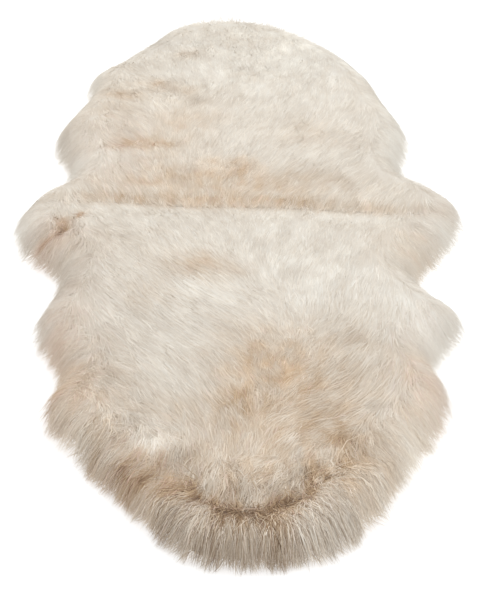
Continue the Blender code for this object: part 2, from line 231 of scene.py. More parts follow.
TINTS = (
    Tint("bright right side of the near pelt", 0.09, -0.25, 0.13, 0.12, 0, 0.05, -0.04),
    Tint("bright left of the near middle", -0.20, -0.42, 0.03, 0.05, 0, 0.03, -0.06),
    Tint("tan heart of the near pelt", 0.035, -0.55, 0.070, 0.13, 0, -0.09, 0.55),
    Tint("lower left of the heart", -0.01, -0.63, 0.035, 0.06, 0, -0.10, 0.28),
    Tint("lower right of the heart", 0.12, -0.63, 0.055, 0.13, 0, -0.08, 0.36),
    Tint("pale right flank", 0.235, -0.40, 0.035, 0.10, 0, 0.05, -0.06),
    Tint("shade right of the heart", 0.16, -0.46, 0.05, 0.10, 0, -0.07, 0.12),
    Tint("small tan spot below the seam", -0.060, -0.225, 0.050, 0.045, -8, -0.10, 0.40),
    Tint("shade below the left seam lobe", -0.20, -0.15, 0.05, 0.05, 0, -0.03, 0.05),
    Tint("shade left of the near parting", -0.14, -0.325, 0.035, 0.045, 0, -0.05, 0.15),
    # painted shadows of two small tufts
    Tint("painted shadow below the seam", -0.126, -0.118, 0.014, 0.010, 0, -0.08, 0.10),
    Tint("painted shadow above the near parting", -0.002, -0.245, 0.016, 0.012, 0, -0.08, 0.10),
    Tint("tan near the right notch", 0.245, -0.17, 0.04, 0.08, 0, -0.02, 0.22),
    Tint("tan above the seam", -0.03, 0.07, 0.20, 0.055, -4, -0.08, 0.42),
    Tint("tan left of the far middle", -0.13, 0.22, 0.07, 0.14, 0, -0.05, 0.22),
    Tint("tan fringe along the seam", -0.01, 0.010, 0.24, 0.018, -4, -0.06, 0.30),
    Tint("heart of the fringe", 0.03, 0.012, 0.09, 0.012, -4, -0.04, 0.12),
    Tint("left end of the fringe", -0.20, 0.022, 0.04, 0.014, -4, -0.07, 0.22),
    Tint("right end of the fringe", 0.24, -0.010, 0.05, 0.016, -4, -0.05, 0.16),
    Tint("swirl, left", -0.042, 0.150, 0.018, 0.030, 0, -0.02, 0.35),
    Tint("swirl, right", 0.012, 0.140, 0.022, 0.033, 0, -0.09, 0.50),
    # painted shade in the crease above the far left lobe
    Tint("crease above the far left lobe", -0.175, 0.245, 0.055, 0.030, 3, -0.08, 0.42),
    Tint("tan above the far left crease", -0.085, 0.355, 0.06, 0.06, 0, -0.04, 0.22),
    Tint("tan right of the far middle", 0.12, 0.29, 0.06, 0.07, 0, -0.03, 0.12),
    Tint("shade on the far left", -0.23, 0.40, 0.05, 0.12, 0, -0.035, 0.12),
    # painted shade round the far clumps, under their bright strands
    Tint("far clump, left", -0.150, 0.515, 0.030, 0.024, -20, -0.10, 0.34),
    Tint("far clump, middle", -0.092, 0.490, 0.018, 0.022, 0, -0.09, 0.30),
    Tint("far clump, outer", -0.210, 0.470, 0.026, 0.022, -10, -0.10, 0.30),
    Tint("far clump, top", -0.100, 0.690, 0.022, 0.024, -25, -0.07, 0.22),
    Tint("shade on the far left edge", -0.29, 0.24, 0.03, 0.12, 0, -0.07, 0.05),
    Tint("pale far right edge", 0.27, 0.28, 0.03, 0.20, 0, 0.05, -0.10),
    # painted brown shade in the creases of the left seam lobe
    Tint("seam lobe crease, upper", -0.268, -0.080, 0.009, 0.030, 8, -0.27, 0.90),
    Tint("seam lobe crease, lower", -0.284, -0.118, 0.024, 0.009, 28, -0.24, 0.80),
    Tint("second seam lobe crease", -0.247, -0.05, 0.007, 0.018, -10, -0.19, 0.75),
    Tint("pale tufts of the seam lobe", -0.238, -0.082, 0.016, 0.022, 0, 0.09, -0.10),
    Tint("tan below the left seam lobe", -0.275, -0.15, 0.03, 0.08, 0, -0.11, 0.28),
    # painted shade together with the wool's own tan
    Tint("painted shade and tan on the left flank", -0.25, -0.46, 0.04, 0.14, 0, -0.07, 0.22),
    Tint("tan left near lobe", -0.20, -0.61, 0.07, 0.10, 0, -0.05, 0.26),
    Tint("shade inside the upper left notch", -0.235, -0.245, 0.03, 0.07, 0, -0.14, 0.14),
    Tint("tan above the skirt", 0.01, -0.75, 0.17, 0.08, 0, -0.02, 0.26),
    # painted brown shade between the locks of the left shoulder
    Tint("tan edge of the left shoulder", -0.165, -0.74, 0.03, 0.05, 40, -0.08, 0.30),
    Tint("tan below the heart, left", -0.085, -0.64, 0.04, 0.04, 0, -0.05, 0.15),
    Tint("shade on the left flank", -0.200, -0.46, 0.040, 0.06, 0, -0.07, 0.08),
    Tint("pale far top", 0.02, 0.72, 0.20, 0.20, 0, 0.025, -0.10),
    Tint("pale band below the seam, right", 0.14, -0.045, 0.12, 0.026, -4, 0.05, -0.02),
    Tint("shade on the far left shoulder", -0.155, 0.77, 0.05, 0.06, 0, -0.09, 0.02),
    Tint("bright right of the skirt", 0.165, -0.82, 0.04, 0.06, 0, 0.12, 0.10),
    Tint("pale right of the far top", 0.11, 0.77, 0.035, 0.07, 0, 0.08, -0.12),
    Tint("shade on the far left corner", -0.20, 0.61, 0.05, 0.08, 0, -0.06, 0.04),
    Tint("shade on the far right lobe", 0.22, 0.26, 0.04, 0.05, 0, -0.06, 0.04),
    Tint("shade right of the swirl", 0.13, 0.12, 0.07, 0.06, 0, -0.05, 0.06),
    Tint("tan below the right seam lobe", 0.275, -0.13, 0.03, 0.04, 0, -0.04, 0.16),
    Tint("pale right side of the heart", 0.08, -0.55, 0.05, 0.05, 0, 0.04, 0.0),
    Tint("pale fold of the left shoulder", -0.106, -0.728, 0.024, 0.026, 0, 0.16, -0.20),
    Tint("brink of the skirt's valley", -0.01, -0.795, 0.06, 0.025, 0, 0.02, 0.05),
    # painted brown shade in the deepest part of the skirt's valley
    Tint("painted shade deep in the valley", 0.016, -0.862, 0.016, 0.010, 0, -0.50, 0.70),
    Tint("painted shade left of it", -0.013, -0.848, 0.010, 0.006, 0, -0.08, 0.40),
    Tint("painted shade right of it", 0.053, -0.851, 0.011, 0.008, 0, -0.16, 0.50),
    Tint("pale left end of the valley", -0.085, -0.800, 0.030, 0.020, 40, 0.04, 0.10),
    # painted shade on the shadowed underside of the skirt's tips
    Tint("painted shade under the skirt tips", -0.03, -0.95, 0.11, 0.048, 0, -0.28, 0.05),
    Tint("tan skirt", -0.02, -0.88, 0.16, 0.07, 0, -0.06, 0.22),
    Tint("dark left side of the skirt", -0.10, -0.855, 0.06, 0.030, -42, -0.17, 0.10),
    Tint("pale middle of the skirt", -0.002, -0.885, 0.022, 0.020, 0, 0.09, 0.0),
    Tint("pale tuft left of the skirt", -0.062, -0.826, 0.014, 0.010, 0, 0.12, -0.05),
    Tint("shade right of the pale fold", -0.072, -0.755, 0.018, 0.020, 0, -0.20, 0.12),
    Tint("pale fold at the right shoulder", 0.103, -0.812, 0.018, 0.011, 0, 0.15, -0.06),
    Tint("shade over the right shoulder", 0.125, -0.712, 0.050, 0.030, 0, -0.07, 0.08),
    # painted shade on the skirt's underside
    Tint("painted shade under the skirt tips, right", 0.05, -0.905, 0.030, 0.028, 0, -0.12, 0.05),
    Tint("shade at the far top", -0.06, 0.78, 0.035, 0.05, 0, -0.05, 0.04),
    Tint("shade across the far pelt", -0.02, 0.44, 0.12, 0.025, 0, -0.05, 0.04),
    Tint("cool right side of the far pelt", 0.130, 0.62, 0.05, 0.08, 0, 0.0, -0.09),
    # painted light on the right shoulder
    Tint("painted light on the right shoulder", 0.222, -0.725, 0.034, 0.055, 0, 0.20, -0.08),
    Tint("shade above the right skirt", 0.09, -0.79, 0.06, 0.03, 0, -0.03, 0.14),
    Tint("warm right near lobe", 0.23, -0.62, 0.05, 0.09, 0, 0.03, 0.16),
    Tint("warm right flank", 0.240, -0.54, 0.04, 0.11, 0, 0.0, 0.22),
    Tint("warm left flank", -0.235, -0.52, 0.035, 0.12, 0, 0.02, 0.28),
    # painted brown shade between the tufts by the valley's left end
    Tint("painted brown shade at the left shoulder", -0.124, -0.746, 0.018, 0.014, 0, -0.25, 0.50),
    Tint("painted brown shade left of the valley", -0.112, -0.778, 0.018, 0.012, 0, -0.16, 0.34),
)

RUFFLES = (
    Ruffle("left near lobe", -0.21, -0.58, 0.06, 0.14, 0, 0.60),
    Ruffle("left near shoulder", -0.14, -0.74, 0.07, 0.07, 0, 0.75),
    Ruffle("near skirt", 0.0, -0.90, 0.20, 0.07, 0, 0.70),
    Ruffle("right near shoulder", 0.15, -0.73, 0.06, 0.06, 0, 0.60),
    Ruffle("heart of the near pelt", 0.06, -0.54, 0.07, 0.12, 0, 0.40),
    Ruffle("above the skirt's valley", 0.02, -0.795, 0.17, 0.040, 0, 0.80),
    Ruffle("seam fringe", 0.0, 0.010, 0.30, 0.014, -4, 0.45),
    Ruffle("left seam lobe", -0.27, -0.09, 0.05, 0.06, 0, 0.70),
    Ruffle("below the left seam lobe", -0.19, -0.14, 0.05, 0.05, 0, 0.35),
    Ruffle("swirl", -0.015, 0.145, 0.06, 0.04, 0, 0.60),
    Ruffle("crease above the far left lobe", -0.18, 0.25, 0.07, 0.03, 3, 0.50),
    Ruffle("far clumps", -0.15, 0.50, 0.10, 0.06, -10, 0.70),
    Ruffle("far top clump", -0.10, 0.69, 0.04, 0.03, 0, 0.50),
    Ruffle("far left", -0.22, 0.36, 0.06, 0.09, 0, 0.35),
    Ruffle("far top", 0.02, 0.78, 0.14, 0.14, 0, 0.45),
    Ruffle("right of the far middle", 0.06, 0.60, 0.12, 0.06, 0, 0.35),
)

BLUSHES = (
    Blush("left flank", -0.25, -0.46, 0.06, 0.30, 0, 0.85),
    Blush("left seam lobe", -0.29, -0.12, 0.06, 0.10, 0, 0.90),
    Blush("left shoulder", -0.15, -0.76, 0.08, 0.07, 0, 0.55),
    Blush("right flank", 0.255, -0.54, 0.045, 0.24, 0, 0.95),
    Blush("right seam lobe", 0.31, -0.06, 0.05, 0.12, 0, 0.60),
    Blush("skirt's valley", 0.0, -0.83, 0.17, 0.045, 0, 0.15),
    Blush("seam fringe", -0.05, 0.02, 0.26, 0.025, -4, 0.14),
    Blush("left of the far pelt", -0.22, 0.22, 0.07, 0.18, 0, 0.45),
)

# The curly line where the wool of the top ends and the near skirt begins: a hollow, with painted
# shade along it.
VALLEY_LINE = (
    (-0.190, -0.640), (-0.132, -0.732), (-0.094, -0.784), (-0.070, -0.806),
    (-0.020, -0.849), (0.041, -0.859), (0.071, -0.832), (0.108, -0.777),
    (0.152, -0.744), (0.197, -0.709), (0.235, -0.640),
)


def smooth_step(values: np.ndarray, low: float, high: float) -> np.ndarray:
    """Rise from 0 at low to 1 at high along the curve 3t^2 - 2t^3.

    Args:
        values: The numbers to place between low and high.
        low: Where the rise begins.
        high: Where it ends; it may lie below low, for a fall.

    Returns:
        The shares from 0 to 1, in the shape of values.
    """
    t = np.clip((values - low) / (high - low), 0.0, 1.0)
    return t * t * (3.0 - 2.0 * t)


def unit(vectors: np.ndarray) -> np.ndarray:
    """The same vectors with length 1, along the last axis."""
    length = np.linalg.norm(vectors, axis=-1, keepdims=True)
    return vectors / np.maximum(length, 1e-9)


def bell(values: np.ndarray, width: np.ndarray | float) -> np.ndarray:
    """Bell curve exp(-(v / width)^2): 1 at 0, and 1/e where a value is the width."""
    return np.exp(-((values / width) ** 2))


def quarter_round(share: np.ndarray) -> np.ndarray:
    """Height of a quarter circle, 0 to 1, over each share of the way in from its foot."""
    return np.sqrt(1 - (1 - share) ** 2)


def noise_over(points: np.ndarray, seed: float) -> np.ndarray:
    """Smooth noise between -1 and 1 at each (x, y) point, whose waves are about 1 long."""
    return np.array([noise.noise((x, y, seed)) for x, y in points])


def from_seam(points: np.ndarray) -> np.ndarray:
    """Signed distance of (..., 2) points from the seam line, + on the far side."""
    along = (points[..., 1] - SEAM_Y) * math.cos(SEAM_TILT)
    return along - points[..., 0] * math.sin(SEAM_TILT)


def under_fringe(points: np.ndarray) -> np.ndarray:
    """1 just under the seam's fringe, a bell curve below it, and 0 on the far pelt."""
    seam = from_seam(points)
    return bell(seam, OVERHANG) * (seam < 0)


def catmull_rom_loop(corners: np.ndarray, steps: int) -> np.ndarray:
    """Centripetal Catmull-Rom curve through a closed loop of corners.

    Each knot is as far from the last as the square root of the distance between their
    corners, and the point is the usual pyramid of six blends between four corners.

    Args:
        corners: The loop's corners, (n, 2).
        steps: Points on each stretch between two corners.

    Returns:
        The curve's points, (n * steps, 2), the first on the first corner.
    """
    p0, p1, p2, p3 = (np.roll(corners, s, axis=0)[:, None, :] for s in (1, 0, -1, -2))
    t1 = np.sqrt(np.linalg.norm(p1 - p0, axis=2, keepdims=True))
    t2 = t1 + np.sqrt(np.linalg.norm(p2 - p1, axis=2, keepdims=True))
    t3 = t2 + np.sqrt(np.linalg.norm(p3 - p2, axis=2, keepdims=True))
    t = t1 + (t2 - t1) * np.linspace(0, 1, steps, endpoint=False)[None, :, None]
    a1 = (t1 - t) / t1 * p0 + t / t1 * p1
    a2 = (t2 - t) / (t2 - t1) * p1 + (t - t1) / (t2 - t1) * p2
    a3 = (t3 - t) / (t3 - t2) * p2 + (t - t2) / (t3 - t2) * p3
    b1 = (t2 - t) / t2 * a1 + t / t2 * a2
    b2 = (t3 - t) / (t3 - t1) * a2 + (t - t1) / (t3 - t1) * a3
    curve = (t2 - t) / (t2 - t1) * b1 + (t - t1) / (t2 - t1) * b2
    return curve.reshape(-1, 2)


def distance_to_path(points: np.ndarray, path: np.ndarray) -> np.ndarray:
    """Shortest distance from each (x, y) point to an open path of straight pieces."""
    start, span = path[:-1], np.diff(path, axis=0)
    offset = points[:, None, :] - start[None]
    share = np.clip((offset * span).sum(2) / (span**2).sum(1), 0, 1)
    return np.linalg.norm(offset - share[..., None] * span, axis=2).min(axis=1)


@dataclass(frozen=True)
class Outline:
    """The free edge of the whole rug, to the wool tips, anticlockwise from the far tip."""

    rows: tuple[EdgeRow, ...] = EDGE_ROWS
    far_tip: Pair = FAR_TIP
    near_tip: Pair = NEAR_TIP
    steps: int = CURVE_STEPS

    def loop(self) -> np.ndarray:
        """The smooth closed curve through every lobe and notch, (n, 2)."""
        left = [(-row.left_out, row.left_y) for row in self.rows]
        right = [(row.right_out, row.right_y) for row in reversed(self.rows)]
        return catmull_rom_loop(
            np.array([self.far_tip, *left, self.near_tip, *right]), self.steps
        )

    def inset(self, depth: float) -> np.ndarray:
        """The loop moved inwards by depth, square to itself at each point."""
        loop = self.loop()
        tangent = unit(np.roll(loop, -1, axis=0) - np.roll(loop, 1, axis=0))
        return loop - depth * np.stack([tangent[:, 1], -tangent[:, 0]], axis=1)

    def sides(self, depth: float) -> tuple[np.ndarray, np.ndarray]:
        """The inset loop's left and right sides, each sorted by rising y."""
        loop = self.inset(depth)
        turn = (len(self.rows) + 1) * self.steps
        left = loop[: turn + 1][::-1]
        right = np.vstack([loop[turn:], loop[:1]])
        climb = [np.maximum.accumulate(side[:, 1]) for side in (left, right)]
        return (
            np.stack([left[:, 0], climb[0]], axis=1),
            np.stack([right[:, 0], climb[1]], axis=1),
        )


@dataclass(frozen=True)
class PlanGrid:
    """A square grid over the plan, on which the wool's slow changes are kept."""

    half_width: float = 0.42
    half_length: float = 1.0
    pitch: float = 0.005

    def points(self) -> np.ndarray:
        """Every grid point, (rows, columns, 2)."""
        xs = np.arange(-self.half_width, self.half_width + self.pitch / 2, self.pitch)
        ys = np.arange(-self.half_length, self.half_length + self.pitch / 2, self.pitch)
        return np.stack(np.meshgrid(xs, ys), axis=-1)

    def look_up(self, values: np.ndarray, points: np.ndarray) -> np.ndarray:
        """Values at any points, by blending the four grid points round each one.

        Args:
            values: What the grid holds, (rows, columns) or (rows, columns, k).
            points: Where to look, (..., 2); points off the grid take its border.

        Returns:
            The blended values, (...) or (..., k).
        """
        place = (points + (self.half_width, self.half_length)) / self.pitch
        last = np.array([values.shape[1] - 2, values.shape[0] - 2])
        cell = np.clip(np.floor(place).astype(int), 0, last)
        fx, fy = np.moveaxis(np.clip(place - cell, 0, 1), -1, 0)
        if values.ndim == 3:
            fx, fy = fx[..., None], fy[..., None]
        i, j = cell[..., 1], cell[..., 0]
        low = values[i, j] * (1 - fx) + values[i, j + 1] * fx
        high = values[i + 1, j] * (1 - fx) + values[i + 1, j + 1] * fx
        return low * (1 - fy) + high * fy


def blurred(values: np.ndarray, radius: int, times: int = 3) -> np.ndarray:
    """Grid values averaged over squares of 2 radius + 1 points, several times over."""
    span = 2 * radius + 1
    for _ in range(times):
        for axis in (0, 1):
            pads = [(0, 0)] * values.ndim
            pads[axis] = (radius + 1, radius)
            total = np.cumsum(np.pad(values, pads, mode="edge"), axis=axis)
            high = np.take(total, np.arange(span, total.shape[axis]), axis=axis)
            low = np.take(total, np.arange(0, total.shape[axis] - span), axis=axis)
            values = (high - low) / span
    return values


@dataclass
class Fleece:
    """How the wool lies over the plan: its height, its combing and its colour.

    Attributes:
        outline: The free edge of the rug.
        grid: The grid that every field is kept on.
        pile: Height of the wool.
        rim_round: Width of the round at its sides, far_round at the far end, and
            near_round at the near end.
        foot: How far that round is set back where the rim faces the far end.
        far_end: Where the far end's round begins and where it is full, along the rug.
        near_from: Where the near end's changes begin, along the rug.
        edge_height: Height of the wool at its tips.
        seam_dip: Depth of the hollow at the seam.
        seam_fall: Width of its far side.
        seam_climb: Width of its near side.
        over_seam: How far the fringe hangs over the seam: pairs of x and a length.
        lump: Height of the broad lumps, and lump_size their spacing.
        tuft: Height of the small tufts, and tuft_size their spacing.
        valley_depth: Depth of the skirt's valley, and valley_width its half width.
        valley_from: Where that depth begins and where it is full, along the rug.
        valley_curl: How far the curls reach to either side of the valley line.
        relief: The share of the surface's slope that its shading shows.
        ragged: How far the edge of the skirt wanders.
        wander_waves: Waves of that wandering for each metre.
        rim_lean: Width of the rim in which the wool turns outwards.
        near_lean: How much wider it is round the near end.
        clouds: The colour's slow, soft and puffy noise: waves for each metre across and
            along, and a seed.
        cream: Lightness and warmth of the plain wool.
        plain_blush: Share of its strands whose warmth is peach.
        valley_shade: How much darker the valley's painted shade makes it, and how much more in
            its middle.
        valley_shade_warmth: How much warmer that painted shade is, and how much more in its
            middle.
        valley_reach: How far to either side that shade runs, and valley_middle where
            its middle ends.
        edge_cool: How much greyer the wool is at the tips, over the width edge_width.
        plan: The grid's points.
        inside: Distance in from the wool tips, - outside them.
        near: How far towards the near end a point lies, from 0 to 1.
        valley: Distance from the skirt's valley line.
        wander: Slow noise of about 30 mm, for ragged lines.
        skirt: That distance, + on the skirt's side and - above it, with a ragged line.
        outward: Unit vectors that point out to the nearest free edge.
        height: Height of the wool's surface above the floor.
        normal: Unit vectors square to that surface, softened by the relief.
        flow: The way the strands lean, longer the further they lie over.
        curl: How curly and tufted it is, from 0 to 1.
        lightness: The wool's lightness from 0 to 1, its painted light and shade included.
        warmth: Its warmth from 0, grey, to 1, tan or peach, the painted shade's warmth included.
        blush: The share of its strands whose warmth is peach.
    """

    outline: Outline = field(default_factory=Outline)
    grid: PlanGrid = field(default_factory=PlanGrid)
    pile: float = 0.061
    rim_round: float = 0.066
    far_round: float = 0.056
    near_round: float = 0.080
    foot: float = 0.022
    far_end: Pair = (0.66, 0.86)
    near_from: float = -0.55
    edge_height: float = 0.002
    seam_dip: float = 0.011
    seam_fall: float = 0.016
    seam_climb: float = 0.050
    over_seam: tuple[Pair, ...] = (
        (-0.28, 0.017), (-0.15, 0.013), (0.02, 0.007), (0.08, 0.013), (0.30, 0.015),
    )
    lump: float = 0.0060
    lump_size: float = 0.17
    tuft: float = 0.0028
    tuft_size: float = 0.060
    valley_depth: float = 0.015
    valley_width: float = 0.018
    valley_from: Pair = (-0.68, -0.76)
    valley_curl: float = 0.030
    relief: float = 0.42
    ragged: float = 0.016
    wander_waves: float = 34.0
    rim_lean: float = 0.085
    near_lean: float = 0.025
    clouds: tuple[tuple[float, float, float], ...] = (
        (11.0, 15.0, 3.1), (38.0, 20.0, 9.4), (66.0, 34.0, 5.2),
    )
    cream: Pair = (0.590, 0.13)
    plain_blush: float = 0.05
    valley_shade: Pair = (0.13, 0.11)
    valley_shade_warmth: Pair = (0.52, 0.33)
    valley_reach: float = 0.155
    valley_middle: float = 0.10
    edge_cool: float = 0.10
    edge_width: float = 0.045

    def __post_init__(self) -> None:
        """Work out every field once, on the grid."""
        plan = self.grid.points()
        self.plan = plan
        flat = plan.reshape(-1, 2)
        self.inside = self._inside(flat).reshape(plan.shape[:2])
        falls = np.gradient(blurred(self.inside, 2), self.grid.pitch)
        self.outward = unit(-np.stack([falls[1], falls[0]], axis=-1))
        self.near = np.clip(
            (self.near_from - plan[..., 1]) / (FAR_TIP[1] + self.near_from), 0, 1
        )
        line = np.array(VALLEY_LINE)
        self.valley = distance_to_path(flat, line).reshape(plan.shape[:2])
        beyond = plan[..., 1] < np.interp(plan[..., 0], line[:, 0], line[:, 1])
        self.wander = noise_over(flat * self.wander_waves, 6.6).reshape(plan.shape[:2])
        self.skirt = np.where(beyond, self.valley, -self.valley) + self.ragged * self.wander
        self.height = blurred(self._height(flat).reshape(plan.shape[:2]), 1)
        slope = np.gradient(blurred(self.height, 2), self.grid.pitch)
        slope = [self.relief * part for part in slope]
        self.normal = unit(np.stack([-slope[1], -slope[0], np.ones_like(self.height)], axis=-1))
        self.flow = self._flow()
        self.curl = bell(self.valley, self.valley_curl)
        for row in RUFFLES:
            self.curl = np.maximum(self.curl, row.strength * row.share(plan))
        self.blush = np.full_like(self.curl, self.plain_blush)
        for row in BLUSHES:
            self.blush = np.maximum(self.blush, row.strength * row.share(plan))
        self.lightness, self.warmth = self._colour()

    def _inside(self, points: np.ndarray, batch: int = 4096) -> np.ndarray:
        """Signed distance in from the outline: the nearest straight piece gives both
        the distance and, by the side of it on which the point lies, the sign."""
        loop = self.outline.loop()
        span = np.roll(loop, -1, axis=0) - loop
        square = (span**2).sum(1)
        outward = unit(np.stack([span[:, 1], -span[:, 0]], axis=1))
        found = []
        for first in range(0, len(points), batch):
            offset = points[first : first + batch, None, :] - loop[None]
            share = np.clip((offset * span).sum(2) / square, 0, 1)
            offset = offset - share[..., None] * span
            away = (offset**2).sum(2)
            nearest = away.argmin(axis=1)
            rows = np.arange(len(nearest))
            side = (offset[rows, nearest] * outward[nearest]).sum(1)
            found.append(-np.sign(side) * np.sqrt(away[rows, nearest]))
        return np.concatenate(found)

    def _height(self, points: np.ndarray) -> np.ndarray:
        """Surface height: a quarter round up from the tips to the pile, with lumps
        added and troughs taken away."""
        inside = self.inside.ravel()
        far = smooth_step(points[:, 1], *self.far_end)
        radius = self.rim_round + (self.far_round - self.rim_round) * far
        radius = radius + (self.near_round - self.rim_round) * self.near.ravel()
        back = self.foot * np.clip(self.outward[..., 1].ravel(), 0, 1) * (1 - far)
        crown = quarter_round(np.clip((inside - back) / (radius - 0.3 * back), 0, 1))
        lumps = self.lump * noise_over(points / self.lump_size, 0.4)
        lumps = lumps + self.tuft * noise_over(points / self.tuft_size, 7.7)
        seam = from_seam(points)
        width = np.where(seam > 0, self.seam_fall, self.seam_climb)
        hollows = self.seam_dip * bell(seam, width)
        for row in TROUGHS:
            line = np.array([(row.x0, row.y0), (row.x1, row.y1)])
            hollows = hollows + row.depth * bell(distance_to_path(points, line), row.half_width)
        valley = self.valley_depth * smooth_step(points[:, 1], *self.valley_from)
        hollows = hollows + valley * bell(self.valley.ravel(), self.valley_width)
        low = self.edge_height + 0.4 * np.minimum(np.clip(inside, 0, None), back)
        return low + crown * (self.pile - low + lumps - hollows)

    def _flow(self) -> np.ndarray:
        """Comb strokes blended by a bell curve of the distance to each, then turned
        straight out towards the free edge round the rim."""
        guides = np.array([(g.x, g.y, math.radians(g.heading), g.lean) for g in GUIDES])
        away = ((self.plan[:, :, None, :] - guides[:, :2]) ** 2).sum(-1)
        weight = np.exp(-away / (2 * GUIDE_SPREAD**2)) + 1e-9 / (away + 1e-4)
        weight /= weight.sum(-1, keepdims=True)
        strokes = np.stack([np.cos(guides[:, 2]), np.sin(guides[:, 2])], axis=1)
        combed = weight @ (strokes * guides[:, 3:])
        width = self.rim_lean + self.near_lean * smooth_step(self.near, *NEAR_RISE)
        rim = 1 - smooth_step(self.inside / width, 0.10, 1.0)
        return rim[..., None] * self.outward + (1 - rim[..., None]) * combed

    def _colour(self) -> tuple[np.ndarray, np.ndarray]:
        """Cream all over with soft clouds, each tint added (painted shade and light among them),
        painted brown shade along the skirt's valley, and a greyer edge."""
        flat = self.plan.reshape(-1, 2)
        slow, soft, puffs = (
            noise_over(flat * (across, up), seed).reshape(self.inside.shape)
            for across, up, seed in self.clouds
        )
        clouds = 0.040 * slow + 0.040 * soft + 0.035 * puffs
        lightness = self.cream[0] + clouds
        warmth = self.cream[1] - 0.9 * clouds
        for row in TINTS:
            amount = row.share(self.plan) * np.clip(1 + 1.1 * puffs, 0.6, 1.7)
            lightness += row.lightness * amount
            warmth += row.warmth * amount
        # painted brown shade along the skirt's valley: darker and warmer, patchy, most in its
        # middle
        spots = np.clip(1 + 1.8 * puffs + 0.8 * soft, 0.2, 1.6)
        valley = bell(self.skirt - 0.004, 0.015) * spots
        valley = valley * np.exp(-((self.plan[..., 0] / self.valley_reach) ** 4))
        middle = bell(self.plan[..., 0], self.valley_middle)
        lightness -= (self.valley_shade[0] + self.valley_shade[1] * middle) * valley
        warmth += (self.valley_shade_warmth[0] + self.valley_shade_warmth[1] * middle) * valley
        warmth -= self.edge_cool * (1 - smooth_step(self.inside, 0.0, self.edge_width))
        return np.clip(lightness, 0.18, 1), np.clip(warmth, 0.02, 0.98)

    def at(self, values: np.ndarray, points: np.ndarray) -> np.ndarray:
        """One of this fleece's fields, looked up at (..., 2) points."""
        return self.grid.look_up(values, points)


# ------------------------------------------------------------------ meshes
def make_piece(
    name: str, vertices: np.ndarray, faces: list[np.ndarray], smooth: bool = True
) -> bpy.types.Object:
    """A mesh object at the origin from whole arrays of corners and faces.

    Args:
        name: The piece's name.
        vertices: Corner places, (n, 3).
        faces: Arrays of corner numbers, one array for each number of sides.
        smooth: True for smooth shading.

    Returns:
        The new object, linked to the scene.
    """
    mesh = bpy.data.meshes.new(name)
    corners = np.concatenate([f.ravel() for f in faces]).astype(np.int32)
    sides = np.concatenate([np.full(len(f), f.shape[1]) for f in faces])
    starts = np.concatenate([[0], np.cumsum(sides)[:-1]]).astype(np.int32)
    mesh.vertices.add(len(vertices))
    mesh.vertices.foreach_set("co", vertices.astype(np.float32).ravel())
    mesh.loops.add(len(corners))
    mesh.loops.foreach_set("vertex_index", corners)
    mesh.polygons.add(len(sides))
    mesh.polygons.foreach_set("loop_start", starts)
    mesh.polygons.foreach_set("use_smooth", np.full(len(sides), smooth))
    mesh.update(calc_edges=True)
    piece = bpy.data.objects.new(name, mesh)
    bpy.context.scene.collection.objects.link(piece)
    return piece


def triangles_in(piece: bpy.types.Object) -> int:
    """How many triangles the piece's faces come to."""
    mesh = piece.data
    return len(mesh.loops) - 2 * len(mesh.polygons)


def ribbon_faces(strands: int, points: int) -> list[np.ndarray]:
    """Faces of many ribbons whose corners run left, right, left, right, ..., tip.

    Args:
        strands: How many ribbons there are.
        points: Points along each one, the tip included.

    Returns:
        The four-sided faces and the three-sided tips, as arrays of corner numbers.
    """
    each = 2 * points - 1
    first = (np.arange(strands) * each)[:, None]
    k = 2 * np.arange(points - 2)[:, None]
    quads = (k + np.array([0, 1, 3, 2]))[None] + first[:, :, None]
    tips = first + np.array([each - 3, each - 2, each - 1])
    return [quads.reshape(-1, 4), tips]


def ribbon_corners(path: np.ndarray, side: np.ndarray, width: np.ndarray) -> np.ndarray:
    """Corners of ribbons: each point of the path moved half a width to either side,
    and the last point alone as the tip.

    Args:
        path: Centre lines, (strands, points, k).
        side: Unit vectors across the ribbons, to the left, the same shape.
        width: Whole widths, (strands, points).

    Returns:
        The corners, (strands * (2 * points - 1), k).
    """
    half = side * width[..., None] / 2
    pairs = np.stack([path + half, path - half], axis=2)[:, :-1]
    pairs = pairs.reshape(len(path), -1, path.shape[-1])
    return np.concatenate([pairs, path[:, -1:]], axis=1).reshape(-1, path.shape[-1])


